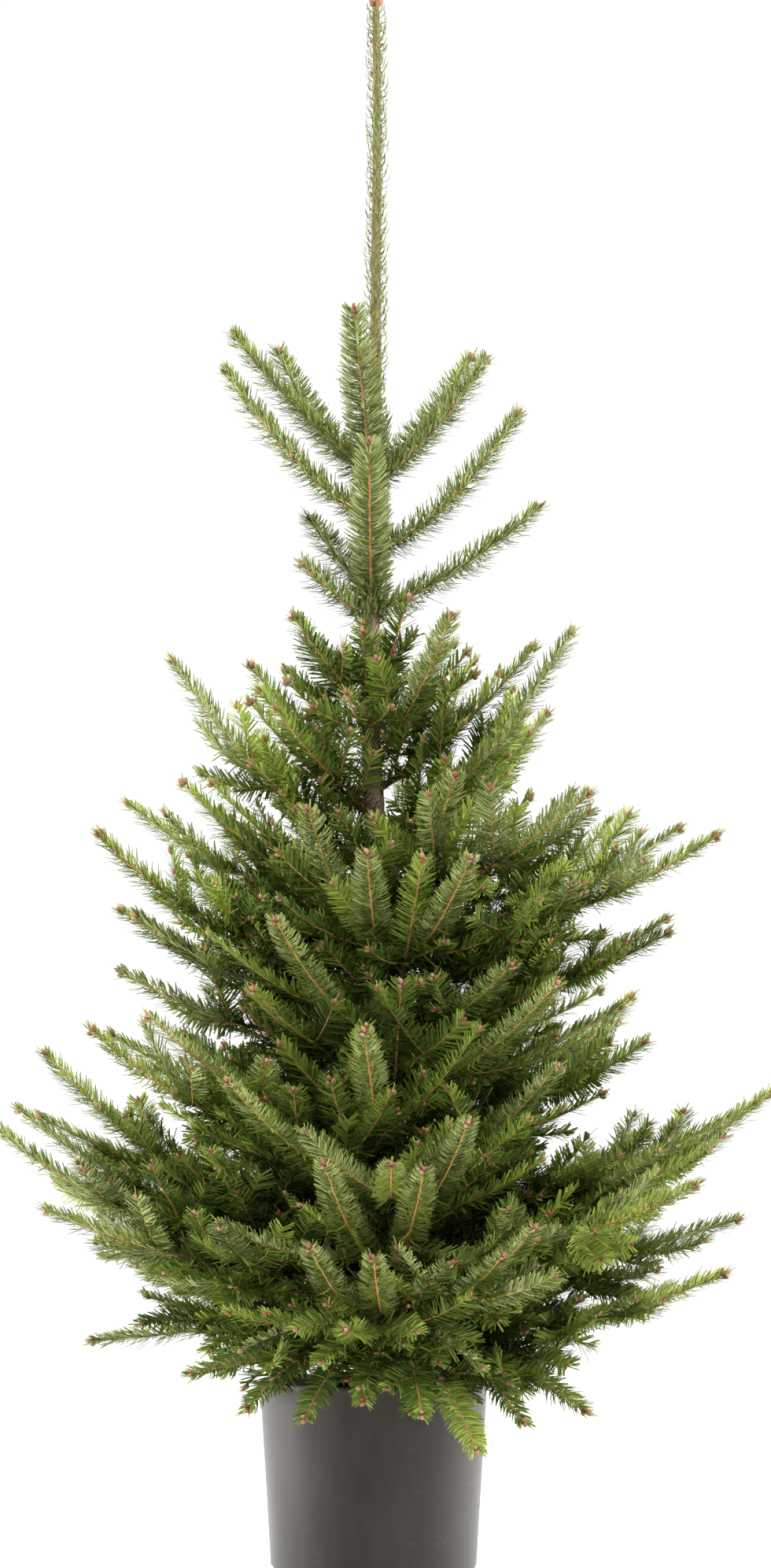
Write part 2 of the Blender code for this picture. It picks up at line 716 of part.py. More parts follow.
# Finishes: base colour and roughness, and how far the colour shifts from piece to piece
LIMB_SHIFT = 0.1
MASS_SHIFT = 0.3
FINISHES = {
    "pot": ((0.045, 0.038, 0.034), 0.38),
    "compost": ((0.040, 0.024, 0.015), 0.95),
    "bark": ((0.200, 0.130, 0.075), 0.85),
    "needles_young": ((0.110, 0.190, 0.060), 0.55),
    "needles": ((0.055, 0.120, 0.040), 0.55),
}


def finish(made, kind, shift=0.0):
    """Give a solid its own material, a little lighter or darker than its kind."""
    colour, roughness = FINISHES[kind]
    material = bpy.data.materials.new(made.name)
    material.use_nodes = True
    shader = material.node_tree.nodes["Principled BSDF"]
    shaded = [channel * (1.0 + shift) for channel in colour]
    shader.inputs["Base Color"].default_value = (*shaded, 1.0)
    shader.inputs["Roughness"].default_value = roughness
    shader.inputs["Metallic"].default_value = 0.0
    material.diffuse_color = (*shaded, 1.0)
    made.data.materials.clear()
    made.data.materials.append(material)


def main():
    for old in list(bpy.data.objects):
        bpy.data.objects.remove(old)
    scene = bpy.context.scene
    parts = bpy.data.collections.new(NAME)
    cutters = bpy.data.collections.new("cutters")
    pieces = bpy.data.collections.new("pieces")
    for group in (parts, cutters, pieces):
        scene.collection.children.link(group)

    pot = make_pot(parts, cutters)
    compost = make_compost(parts)
    trunk = make_trunk(parts)
    sleeve = make_sleeve(parts, pieces)
    finish(pot, "pot")
    finish(compost, "compost")
    finish(trunk, "bark")
    finish(sleeve, "needles_young")
    for made in (pot, trunk):
        made.data.shade_smooth()

    trunk_tree = tree_of(trunk)
    carriers = [trunk_tree, tree_of(pot), tree_of(compost), tree_of(sleeve)]
    limbs = {}
    for bough in BOUGHS:
        if bough.limb:
            limb = make_limb(bough, bough_axis(bough), trunk_tree, parts)
            finish(limb, "bark", LIMB_SHIFT)
            limb.data.shade_smooth()
            limbs[bough.name] = limb
    carriers += [tree_of(limb) for limb in limbs.values()]

    boughs = [(bough, seated_shoots(bough, limbs, trunk_tree)) for bough in BOUGHS]
    kept = keep_shoots(boughs, carriers)
    for bough, shoots in boughs:
        solids = mass_pieces(bough, shoots, kept[bough.name], pieces)
        mass = join(f"foliage_{bough.name}", solids, parts)
        keep_one_body(mass)
        kind = "needles_young" if bough.years < 3 else "needles"
        finish(mass, kind, MASS_SHIFT * math.sin(bough.azimuth))

    holder = bpy.data.objects.new(NAME, None)
    parts.objects.link(holder)
    for made in parts.objects:
        if made is not holder:
            made.parent = holder
    bpy.data.collections.remove(pieces)


if __name__ == "__main__":
    main()
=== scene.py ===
"""Potted veitch fir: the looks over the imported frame.

Every bough grows by the source's own rule, carried here to finer twigs, and is clad in needles
and buds. Metres, +Z up, the front faces -Y.
"""
import math
import random
from collections import namedtuple

import bpy
import numpy as np
from mathutils import Matrix, Vector, noise


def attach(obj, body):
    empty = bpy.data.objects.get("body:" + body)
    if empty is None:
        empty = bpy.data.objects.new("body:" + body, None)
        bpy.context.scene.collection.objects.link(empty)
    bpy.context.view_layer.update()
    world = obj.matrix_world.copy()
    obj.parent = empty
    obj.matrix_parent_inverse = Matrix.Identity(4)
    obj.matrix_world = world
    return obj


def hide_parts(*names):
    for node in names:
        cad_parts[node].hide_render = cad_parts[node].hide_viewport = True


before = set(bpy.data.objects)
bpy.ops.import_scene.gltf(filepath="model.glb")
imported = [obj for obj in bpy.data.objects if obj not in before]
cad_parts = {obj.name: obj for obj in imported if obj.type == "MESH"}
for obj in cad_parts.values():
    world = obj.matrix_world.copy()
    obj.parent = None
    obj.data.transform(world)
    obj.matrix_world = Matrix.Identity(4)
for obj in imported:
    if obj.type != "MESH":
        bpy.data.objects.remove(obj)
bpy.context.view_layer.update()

bl_info = {
    "name": "Potted veitch fir",
    "version": (1, 0, 0),
    "blender": (4, 5, 0),
    "location": "View3D > Sidebar > Fir",
    "description": "Grows a potted fir over its packed frame",
    "category": "Object",
}

UP = Vector((0.0, 0.0, 1.0))
SEEDS = {"trunk": 5, "wood": 8, "chips": 11, "buds": 17}
BODY = "root"

# Pot and compost
POT_HEIGHT = 0.223
POT_RIM_RADIUS = 0.125
POT_FOOT_RADIUS = 0.1112
POT_SLOPE = (POT_RIM_RADIUS - POT_FOOT_RADIUS) / POT_HEIGHT
POT_WALL = 0.0026
POT_FLOOR = 0.004
POT_INNER_RADIUS = POT_RIM_RADIUS - POT_WALL
# The pot's section as radius and height: up its inside, then down its lip, then round its foot
POT_INSIDE = (
    (0.0, POT_FLOOR), (0.050, POT_FLOOR), (POT_FOOT_RADIUS - 0.006, POT_FLOOR),
    (POT_FOOT_RADIUS - 0.0035, POT_FLOOR + 0.001), (POT_FOOT_RADIUS - POT_WALL, POT_FLOOR + 0.004),
    (POT_FOOT_RADIUS + POT_SLOPE * 0.1 - POT_WALL, 0.10), (POT_INNER_RADIUS - POT_SLOPE * 0.012, 0.2110),
    (POT_INNER_RADIUS, 0.2150), (POT_INNER_RADIUS, 0.2212),
)
POT_LIP = ((POT_RIM_RADIUS, 0.2190), (POT_RIM_RADIUS - 0.0006, 0.2165), (POT_RIM_RADIUS - 0.0011, 0.2150))
POT_FOOT = (
    (POT_FOOT_RADIUS, 0.0050), (POT_FOOT_RADIUS, 0.0030), (POT_FOOT_RADIUS - 0.0006, 0.0010),
    (POT_FOOT_RADIUS - 0.0022, 0.0), (0.050, 0.0), (0.0, 0.0),
)
POT_ROLL_STEPS = 6
POT_SIDE_STEPS = 12
POT_SIDE_INSET = 0.0004
POT_SHARP_EDGE = math.radians(38.0)
SLOT_COUNT = 4
SLOT_FIRST = math.radians(2.0)
SLOT_WIDTH = 0.058
SLOT_DEPTH = 0.030
SLOT_LOW = 0.006
SLOT_HIGH = 0.024
SLOT_STEPS = 8
COMPOST_TOP = 0.2045
COMPOST_SINK = 0.0015
COMPOST_MIDDLE = COMPOST_TOP - 0.001
COMPOST_EDGE = POT_FOOT_RADIUS + POT_SLOPE * COMPOST_TOP - POT_WALL - 0.0012
COMPOST_FOOT = POT_FLOOR + 0.0008
COMPOST_SIDE = ((COMPOST_EDGE - 0.001, 0.150), (POT_FOOT_RADIUS - POT_WALL - 0.0016, COMPOST_FOOT))
COMPOST_SIDES = 96
COMPOST_RINGS = 40
# How fine each size of lump is, its level in the noise, and how high it is
COMPOST_LUMPS = ((34.0, 0.0, 0.0030), (120.0, 3.0, 0.0020), (320.0, 7.0, 0.0010))
CHIP_COUNT = 620
CHIP_SIZES = ((0.003, 0.010), (0.002, 0.005), (0.0008, 0.0022))
CHIP_MARGIN = 0.006
CHIP_TILT = 0.35
CHIP_CORNERS = (0.35, 0.55)
CHIP_LEVEL = COMPOST_TOP + 0.0002
BOX_FACES = ((0, 2, 3, 1), (4, 5, 7, 6), (0, 1, 5, 4), (2, 6, 7, 3), (0, 4, 6, 2), (1, 3, 7, 5))

# Trunk
TRUNK_FOOT = 0.2048
TRUNK_TOP = 1.7440
TRUNK_FOOT_RADIUS = 0.0195
TRUNK_TOP_RADIUS = 0.0038
TRUNK_TAPER = 1.4
FLARE_RADIUS = 0.0110
FLARE_HEIGHT = 0.022
TRUNK_LEAN = (
    (0.20, 0.0185), (0.24, 0.0185), (0.40, 0.020), (0.62, 0.012), (0.82, 0.002), (0.97, -0.005),
    (1.22, 0.001), (1.50, 0.003), (1.64, 0.004), (1.76, 0.002),
)
# Heights where the trunk's needles start, thin out and end, and where its bark grows younger
CLAD_LOW = 1.050
CLAD_HIGH = 1.285
LEADER_HIGH = 1.738
YOUNG_BARK = 1.075
LEADER_BARK = CLAD_HIGH - 0.02
BARK_BLEND = 0.006
LEADER_BLEND = 0.05
# Relief of the bark, drawn out upright; the pairs say how fine and how high it is
BARK_STRETCH = 0.55
BARK_FINE = (210.0, 0.0009)
BARK_FRACTAL = (0.9, 2.1, 3)
BARK_COARSE = (90.0, 0.0012)
BARK_APART = UP * 9.0
LEADER_GRAIN = (300.0, 0.0003)
LEADER_RIDGES = 9.0
LEADER_TWIST = 6.0
LEADER_RIDGE = 0.0003
TRUNK_LAST_STEP = 0.001
TRUNK_TIP = 0.003
# The swelling of the trunk round the foot of each bough
COLLAR_NEAR = 0.030
COLLAR_BELOW = 0.004
COLLAR_HIGH = 0.010
COLLAR_WIDE = 0.75
COLLAR_SWELL = 0.0022
TOP_COLLAR_SWELL = 0.0009
TOP_COLLARS = 1.0

# One row for each bough: name, height where it leaves the trunk, azimuth in degrees, how far its
# tip reaches out and rises, sag of its middle, years of growth, and roll of its spray in degrees.
Bough = namedtuple("Bough", "name height azimuth reach rise sag years roll")
BOUGHS = tuple(Bough(*row) for row in (
    ("1a", 1.224, 180, 0.156, 0.152, 0.07, 1, 0),
    ("1b", 1.220, 130, 0.172, 0.158, 0.11, 1, 0),
    ("1c", 1.166, 190, 0.166, 0.166, 0.09, 1, 0),
    ("1d", 1.200, 252, 0.070, 0.192, 0.06, 1, 0),
    ("1e", 1.070, 268, 0.070, 0.176, 0.08, 1, 0),
    ("1f", 1.222, 46, 0.158, 0.146, 0.07, 1, 0),
    ("1g", 1.208, 346, 0.127, 0.134, 0.07, 1, 0),
    ("1h", 1.132, 338, 0.172, 0.146, 0.11, 1, 0),
    ("1i", 1.064, 12, 0.190, 0.123, 0.05, 1, 0),
    ("1j", 1.056, 205, 0.084, 0.060, 0.03, 1, 0),
    ("1k", 1.084, 132, 0.104, 0.096, 0.03, 1, 0),
    ("2a", 0.964, 298, 0.090, 0.110, 0.06, 2, 20),
    ("2b", 0.958, 214, 0.100, 0.098, 0.04, 2, -10),
    ("2c", 0.948, 338, 0.124, 0.044, 0.08, 2, 0),
    ("2d", 0.968, 52, 0.144, 0.070, 0.05, 2, 10),
    ("2e", 0.944, 152, 0.108, 0.062, 0.05, 2, 0),
    ("2f", 0.930, 258, 0.120, 0.036, 0.08, 2, 0),
    ("3a", 0.786, 182, 0.226, 0.226, 0.09, 3, 12),
    ("3b", 0.770, 356, 0.214, 0.272, 0.05, 3, -12),
    ("3c", 0.704, 336, 0.392, 0.106, 0.08, 4, 16),
    ("3d", 0.700, 196, 0.318, 0.116, 0.15, 4, -24),
    ("3e", 0.738, 314, 0.318, 0.113, 0.06, 3, 0),
    ("3f", 0.770, 47, 0.284, 0.200, 0.06, 3, -24),
    ("3g", 0.750, 150, 0.330, 0.114, 0.09, 3, 10),
    ("3h", 0.600, 186, 0.290, 0.068, 0.09, 3, 20),
    ("3i", 0.612, 352, 0.312, 0.098, 0.06, 4, 12),
    ("3j", 0.604, 298, 0.280, 0.066, 0.07, 3, 0),
    ("3k", 0.644, 170, 0.296, 0.094, 0.10, 3, -20),
    ("4a", 0.400, 190, 0.446, 0.108, 0.15, 4, 8),
    ("4b", 0.486, 216, 0.385, 0.116, 0.11, 4, -24),
    ("4c", 0.424, 6, 0.448, 0.130, 0.13, 4, 6),
    ("4d", 0.384, 318, 0.422, 0.058, 0.08, 4, 20),
    ("4e", 0.506, 106, 0.430, 0.090, 0.08, 4, 0),
    ("4f", 0.518, 228, 0.370, 0.098, 0.10, 3, 0),
    ("4g", 0.500, 42, 0.378, 0.146, 0.11, 4, -2),
    ("4h", 0.436, 270, 0.400, 0.030, 0.06, 3, 0),
    ("4i", 0.462, 162, 0.408, 0.118, 0.19, 4, -10),
    ("4j", 0.424, 176, 0.412, 0.094, 0.15, 4, 8),
    ("5a", 0.340, 204, 0.400, 0.073, 0.06, 4, 0),
    ("5b", 0.292, 344, 0.372, 0.051, 0.08, 4, 10),
    ("5c", 0.347, 18, 0.409, 0.046, 0.05, 4, 8),
    ("5d", 0.300, 138, 0.410, 0.060, 0.08, 3, 10),
    ("5e", 0.300, 262, 0.330, -0.004, 0.03, 3, 0),
    ("5f", 0.316, 289, 0.350, 0.056, 0.08, 3, 0),
    ("5g", 0.296, 170, 0.336, -0.034, 0.00, 3, 0),
    ("5h", 0.268, 324, 0.255, -0.068, -0.08, 3, 0),
    ("5i", 0.272, 290, 0.260, -0.105, -0.09, 3, 0),
    ("5j", 0.258, 214, 0.254, -0.020, -0.03, 3, 0),
    ("5k", 0.300, 76, 0.400, 0.060, 0.06, 3, 0),
))
LIMBS = ("3c", "3d", "4a", "4b", "4c", "5a", "5b")

# Growth rule
YEAR_SHARES = (1.0, 0.60, 0.52, 0.46)
LIMB_SHARE = 0.30
SIDE_SHARE = 0.72
SIDE_SPREAD = (0.82, 1.12)
SIDE_TURN = (44.0, 60.0)
SIDE_SCATTER = 0.34
SIDE_LIFTS = ((0.30, 0.24), (0.50, 0.42), (0.72, 0.52))
SIDE_DROOP = -0.12
SIDE_SAG = 0.07
SIDE_KEEP = 0.80
SPRAY_ROLL = 34.0
SHORTEST = 0.034
SHORTEST_TWIG = 0.024
# How far the crown reaches out at each height
CROWN = (
    (0.16, 0.300), (0.30, 0.405), (0.50, 0.480), (0.62, 0.430), (0.82, 0.400),
    (0.90, 0.330), (1.02, 0.250), (1.20, 0.215), (1.45, 0.180),
)
# Shoots between the nodes, by the order of the axis that bears them
BETWEEN_PITCH = {0: 0.0215, 1: 0.036}
BETWEEN_PLACE = (0.2, 0.8)
BETWEEN_ROOM = 1.1
BETWEEN_TURN = (36.0, 56.0)
BETWEEN_TILT = (-46.0, 44.0)
BETWEEN_LIFT_UP = 0.5
BETWEEN_LIFT_DOWN = 0.2
BETWEEN_SHARE = (0.50, 0.92)
BETWEEN_SHORTEST = 0.046
BETWEEN_LONGEST = 0.125
BETWEEN_FORKED = 0.100
POT_CLEAR_OUT = 0.014
POT_CLEAR_UP = 0.012
GROUND_CLEAR = 0.045
TRUNK_CLEAR = 0.008
# How high the trunk's own shoots count with each tier of boughs; above that, with the second
TIER_TOPS = (("5", 0.38), ("4", 0.56), ("3", 0.90))
# Short shoots of the trunk inside the crown, between the tiers of boughs
INNER_LOW = 0.272
INNER_HIGH = 0.965
INNER_STEPS = ((0.60, 0.0145), (0.78, 0.0125), (0.88, 0.0160), (0.965, 0.0200))
INNER_STEP_SPREAD = (0.7, 1.3)
INNER_REACH = ((0.27, 0.30), (0.52, 0.33), (0.72, 0.25), (0.88, 0.18), (0.97, 0.13))
INNER_SHARE = (0.55, 1.0)
INNER_RISES = ((0.70, 0.55), (0.92, 0.85))
INNER_RISE_SPREAD = (0.55, 1.45)
INNER_TURN = 137.5
INNER_SCATTER = 14.0
INNER_SAG = 0.06
INNER_FORKED = 0.22
# Low sprigs that hang over the pot's rim: height, azimuth, reach and rise
LOW_SPRIGS = (
    (0.262, 246, 0.222, -0.066), (0.266, 262, 0.206, -0.052), (0.262, 228, 0.226, -0.058),
    (0.264, 278, 0.232, -0.062), (0.262, 306, 0.236, -0.070), (0.264, 120, 0.226, -0.060),
    (0.262, 40, 0.232, -0.058),
)
LOW_SAG = -0.14
# Sprigs that stand out of the crown's front, then of its sides, in the same terms
FRONT_SPRIGS = (
    (0.340, 259, 0.360, 0.125), (0.360, 275, 0.370, 0.100), (0.300, 294, 0.360, 0.100),
    (0.285, 256, 0.345, 0.095), (0.280, 267, 0.350, 0.090), (0.390, 282, 0.370, 0.117),
    (0.470, 266, 0.370, 0.130), (0.600, 250, 0.330, 0.115), (0.660, 287, 0.310, 0.120),
    (0.670, 267, 0.300, 0.115), (0.540, 300, 0.350, 0.110), (0.440, 243, 0.370, 0.110),
    (0.410, 186, 0.385, 0.100), (0.410, 354, 0.400, 0.115), (0.610, 188, 0.275, 0.120),
    (0.610, 352, 0.310, 0.115), (0.540, 350, 0.258, 0.090), (0.500, 187, 0.305, 0.100),
    (0.870, 352, 0.178, 0.155), (0.840, 188, 0.138, 0.125), (0.725, 187, 0.218, 0.150),
    (0.690, 354, 0.328, 0.135),
)
FRONT_SAG = 0.07
SHOOT_STEPS = 5
TWIG_RADIUS = 0.0016
TWIG_YEAR = 0.0009
TWIG_ORDER = 0.0003
TWIG_TAPER = 0.8
TWIG_TIP = 0.2
# Corners round a tube by its order, and the vector that sets where the first one lies
TUBE_SIDES = {0: 6, 1: 4, 2: 3, 3: 3}
TUBE_GUIDE = (0.31, 0.17, 0.93)
TIP_TAPER = 0.2
TOP_WHORL_THICK = 1.35
# Rings for each point of a line, how rough they are, and the age above which the bark is old
BOUGH_TUBES = (2.0, 0.05, 3.0)
TWIG_TUBES = (1.0, 0.04, 2.6)
MIDDLE_AGE = 1.6

Axis = namedtuple("Axis", "start span sag length")
Shoot = namedtuple("Shoot", "points across age order bough label")
Line = namedtuple("Line", "points radii ages order bough")


def between(pairs, value):
    """Read a value off straight lines between pairs of numbers."""
    for (low, first), (high, second) in zip(pairs, pairs[1:]):
        if value <= high:
            share = max(0.0, (value - low) / (high - low))
            return first + (second - first) * share
    return pairs[-1][1]


def trunk_middle(height):
    return Vector((between(TRUNK_LEAN, height), 0.0, height))


def trunk_radius(height):
    share = max(0.0, (TRUNK_TOP - height) / (TRUNK_TOP - TRUNK_FOOT))
    taper = (TRUNK_FOOT_RADIUS - TRUNK_TOP_RADIUS) * share ** TRUNK_TAPER
    flare = FLARE_RADIUS * math.exp((TRUNK_FOOT - height) / FLARE_HEIGHT)
    return TRUNK_TOP_RADIUS + taper + flare


def axis_point(axis, share):
    sag = axis.sag * axis.length * 4.0 * share * (1.0 - share)
    return axis.start + axis.span * share - UP * sag


def inside_crown(point):
    return math.hypot(point.x, point.y) < between(CROWN, point.z)


def year_ends(years, first_share):
    shares = list(reversed(YEAR_SHARES[:years]))
    if first_share and years > 1:
        shares[0] = first_share * sum(shares[1:]) / (1.0 - first_share)
    total = sum(shares)
    ends = [0.0]
    for share in shares:
        ends.append(ends[-1] + share / total)
    return ends


def twig_radius(age, order):
    return TWIG_RADIUS + TWIG_YEAR * (age - 1) - TWIG_ORDER * min(order, 2)


def stands_free(points, order):
    """Whether a shoot stays off the pot, the ground and, past its own root, the trunk."""
    for point in points:
        over_pot = math.hypot(point.x, point.y) < POT_RIM_RADIUS + POT_CLEAR_OUT
        if over_pot and point.z < POT_HEIGHT + POT_CLEAR_UP:
            return False
        if point.z < GROUND_CLEAR:
            return False
        if order:
            near = trunk_middle(point.z)
            gap = math.hypot(point.x - near.x, point.y - near.y)
            if gap < trunk_radius(point.z) + TRUNK_CLEAR:
                return False
    return True


def grow_between(label, bough, run, across, normal, lift, order, room, shoots, lines):
    """Short side shoots between the nodes of one year's growth, all round it but for below."""
    dice = random.Random(label + "between")
    length = sum((after - before).length for before, after in zip(run, run[1:]))
    count = int(length / BETWEEN_PITCH[order])
    ahead = (run[-1] - run[0]).normalized()
    for index in range(count):
        share = (index + dice.uniform(*BETWEEN_PLACE)) / count * SHOOT_STEPS
        step = min(int(share), SHOOT_STEPS - 1)
        start = run[step].lerp(run[step + 1], share - step)
        side = 1.0 if index % 2 else -1.0
        turn = math.radians(dice.uniform(*BETWEEN_TURN))
        tilt = math.radians(dice.uniform(*BETWEEN_TILT))
        out = across * side * math.cos(tilt) + normal * math.sin(tilt)
        raised = lift * (BETWEEN_LIFT_UP if tilt > 0.0 else BETWEEN_LIFT_DOWN)
        aim = ahead * math.cos(turn) + out * math.sin(turn) + UP * raised
        size = min(BETWEEN_LONGEST, max(BETWEEN_SHORTEST, room * dice.uniform(*BETWEEN_SHARE)))
        span = aim.normalized() * size
        if inside_crown(start + span * BETWEEN_ROOM):
            side_axis = Axis(start, span, SIDE_SAG if lift > 0.0 else -SIDE_SAG, size)
            years = 2 if size > BETWEEN_FORKED else 1
            side_normal = (normal - aim.normalized() * normal.dot(aim.normalized())).normalized()
            side_label = f"{label}b{index}"
            grow(side_label, bough, side_axis, years, side_normal, lift, order + 1, shoots, lines)


def grow(label, bough, axis, years, normal, lift, order, shoots, lines, first_share=0.0):
    """The source's growth rule, with side axes grown on where the solids end in one spray."""
    dice = random.Random(label)
    ends = year_ends(years, first_share)
    points = []
    radii = []
    ages = []
    for year in range(years):
        start = axis_point(axis, ends[year])
        end = axis_point(axis, ends[year + 1])
        ahead = (end - start).normalized()
        across = normal.cross(ahead).normalized()
        step = (ends[year + 1] - ends[year]) / SHOOT_STEPS
        run = [axis_point(axis, ends[year] + step * index) for index in range(SHOOT_STEPS + 1)]
        age = years - year
        if not stands_free(run[1:] if order else run[2:], order):
            break
        shoots.append(Shoot(run, across, age, order, bough, f"{label}{year}"))
        for index, point in enumerate(run[:-1]):
            share = index / SHOOT_STEPS
            points.append(point)
            radii.append(twig_radius(age - share * (TWIG_TAPER if age == 1 else 1.0), order))
            ages.append(age)
        left = years - year - 1
        if left and order in BETWEEN_PITCH:
            room = axis.length * (1.0 - ends[year + 1]) * SIDE_SHARE
            grow_between(f"{label}{year}", bough, run, across, normal, lift, order, room, shoots, lines)
        if not left:
            points.append(run[-1])
            radii.append(twig_radius(TWIG_TIP, order))
            ages.append(age)
            continue
        for side in (-1.0, 1.0):
            turn = math.radians(dice.uniform(*SIDE_TURN))
            length = axis.length * (1.0 - ends[year + 1]) * SIDE_SHARE
            length *= dice.uniform(*SIDE_SPREAD)
            tilt = UP * lift + normal * dice.uniform(-SIDE_SCATTER, SIDE_SCATTER)
            aim = ahead * math.cos(turn) + across * side * math.sin(turn) + tilt
            keep = dice.random() < SIDE_KEEP or order == 0
            roll = math.radians(dice.uniform(-SPRAY_ROLL, SPRAY_ROLL))
            span = aim.normalized() * length
            shortest = SHORTEST if order == 0 else SHORTEST_TWIG
            if keep and length > shortest and inside_crown(end + span):
                side_label = f"{label}{year}{'l' if side < 0.0 else 'r'}"
                side_axis = Axis(end, span, SIDE_SAG if lift > 0.0 else -SIDE_SAG, length)
                side_normal = Matrix.Rotation(roll, 3, aim.normalized()) @ normal
                grow(side_label, bough, side_axis, left, side_normal, lift, order + 1, shoots, lines)
    if len(points) > 1:
        lines.append(Line(points, radii, ages, order, bough))


def tier_at(height):
    """The tier of boughs that a shoot of the trunk is counted with."""
    for tier, top in TIER_TOPS:
        if height < top:
            return tier
    return "2"


def inner_boughs():
    """Rows for the trunk's own shoots: short ones spread evenly round it, then the sprigs."""
    dice = random.Random("inner")
    rows = []
    height = INNER_LOW
    while height < INNER_HIGH:
        reach = between(INNER_REACH, height) * dice.uniform(*INNER_SHARE)
        rise = reach * between(INNER_RISES, height) * dice.uniform(*INNER_RISE_SPREAD)
        azimuth = (len(rows) * INNER_TURN + dice.uniform(-INNER_SCATTER, INNER_SCATTER)) % 360.0
        years = 3 if reach > INNER_FORKED else 2
        name = f"{tier_at(height)}i{len(rows)}"
        rows.append(Bough(name, height, azimuth, reach, rise, INNER_SAG, years, 0))
        height += between(INNER_STEPS, height) * dice.uniform(*INNER_STEP_SPREAD)
    for kind, sprigs, sag in (("l", LOW_SPRIGS, LOW_SAG), ("f", FRONT_SPRIGS, FRONT_SAG)):
        for index, (height, azimuth, reach, rise) in enumerate(sprigs):
            name = f"{tier_at(height)}{kind}{index}"
            rows.append(Bough(name, height, azimuth, reach, rise, sag, 2, 0))
    return tuple(rows)


def grow_all():
    """Every shoot, and every axis as one line, of every bough."""
    shoots = []
    lines = []
    for bough in BOUGHS + inner_boughs():
        turn = math.radians(bough.azimuth)
        span = Vector((math.cos(turn) * bough.reach, math.sin(turn) * bough.reach, bough.rise))
        axis = Axis(trunk_middle(bough.height), span, bough.sag, span.length)
        outward = span.normalized()
        sideways = outward.cross(UP).normalized()
        normal = Matrix.Rotation(math.radians(bough.roll), 3, outward) @ sideways.cross(outward)
        lift = between(SIDE_LIFTS, bough.height) if bough.rise > 0.0 else SIDE_DROOP
        first_share = LIMB_SHARE if bough.years > 2 else 0.0
        grow(bough.name, bough, axis, bough.years, normal, lift, 0, shoots, lines, first_share)
    return shoots, lines


GROWN = {}


def grown():
    """The shoots and lines, grown once and kept for every piece that is made from them."""
    if not GROWN:
        GROWN["shoots"], GROWN["lines"] = grow_all()
    return GROWN["shoots"], GROWN["lines"]


# Materials
NOISE_ROUGHNESS = 0.6
MOTTLE_DETAIL = 4.0
MOTTLE_BAND = (0.34, 0.66)
MOTTLE_RELIEF = 2.3
SCAR_SHIFT = 1.35
# The numbers of the mix node's sockets for a colour: factor, first and second, then the result
MIX_INPUTS = (0, 6, 7)
MIX_RESULT = 2


def add_node(tree, kind, inputs, **fields):
    """A node with its fields set, then its inputs, each linked to a socket or set to a value."""
    made = tree.nodes.new(kind)
    for field, value in fields.items():
        setattr(made, field, value)
    for key, value in inputs.items():
        if isinstance(value, bpy.types.NodeSocket):
            tree.links.new(value, made.inputs[key])
        else:
            made.inputs[key].default_value = value
    return made


def mix_node(tree, factor, first, second):
    """A colour mix; factor is a socket and the colours are sockets or plain colours."""
    colours = [colour if isinstance(colour, bpy.types.NodeSocket) else (*colour, 1.0)
               for colour in (first, second)]
    inputs = dict(zip(MIX_INPUTS, (factor, *colours)))
    return add_node(tree, "ShaderNodeMix", inputs, data_type="RGBA").outputs[MIX_RESULT]


def noise_node(tree, scale, detail=3.0, stretch=(1.0, 1.0, 1.0)):
    """Noise in the object's own space, as a factor; stretch squeezes it along an axis."""
    place = tree.nodes.new("ShaderNodeTexCoord").outputs["Object"]
    mapping = add_node(tree, "ShaderNodeMapping", {"Scale": stretch, "Vector": place})
    inputs = {"Scale": scale, "Detail": detail, "Roughness": NOISE_ROUGHNESS, "Vector": mapping.outputs[0]}
    return add_node(tree, "ShaderNodeTexNoise", inputs).outputs["Fac"]


def ramp_node(tree, factor, low, high, to_low=0.0, to_high=1.0):
    """A factor stretched so that it runs from one value at low to another at high."""
    inputs = {"From Min": low, "From Max": high, "To Min": to_low, "To Max": to_high, "Value": factor}
    return add_node(tree, "ShaderNodeMapRange", inputs).outputs["Result"]


def bump_node(tree, factor, distance, strength=1.0):
    """Relief of a surface from a factor."""
    inputs = {"Distance": distance, "Strength": strength, "Height": factor}
    return add_node(tree, "ShaderNodeBump", inputs).outputs["Normal"]


def new_material(name, roughness, specular=0.5, sheen=0.0):
    """A material, its node tree and its shader, with the values that are even all over."""
    material = bpy.data.materials.new(name)
    material.use_nodes = True
    tree = material.node_tree
    shader = tree.nodes["Principled BSDF"]
    shader.inputs["Roughness"].default_value = roughness
    shader.inputs["Specular IOR Level"].default_value = specular
    shader.inputs["Sheen Weight"].default_value = sheen
    return material, tree, shader


def mottled(name, dark, light, scale, roughness, bump=0.0, specular=0.5):
    """A surface that wanders between two colours, with finer relief where one is asked for."""
    material, tree, shader = new_material(name, roughness, specular)
    factor = noise_node(tree, scale, MOTTLE_DETAIL)
    colour = mix_node(tree, ramp_node(tree, factor, *MOTTLE_BAND), dark, light)
    tree.links.new(colour, shader.inputs["Base Color"])
    if bump:
        fine = noise_node(tree, scale * MOTTLE_RELIEF)
        tree.links.new(bump_node(tree, fine, bump), shader.inputs["Normal"])
    material.diffuse_color = (*light, 1.0)
    return material


# Upper sides of the needles, from the darkest, for the oldest and for painted shade deep in the crown, to the
# freshest, then undersides
NEEDLE_TOPS = (
    (0.026, 0.044, 0.009), (0.056, 0.090, 0.016), (0.114, 0.168, 0.028),
    (0.190, 0.258, 0.042), (0.286, 0.356, 0.060), (0.385, 0.425, 0.105),
)
NEEDLE_UNDERS = ((0.170, 0.206, 0.062), (0.335, 0.366, 0.152))
NEEDLE_SHIFT = 1.30
NEEDLE_MOTTLE = 90.0


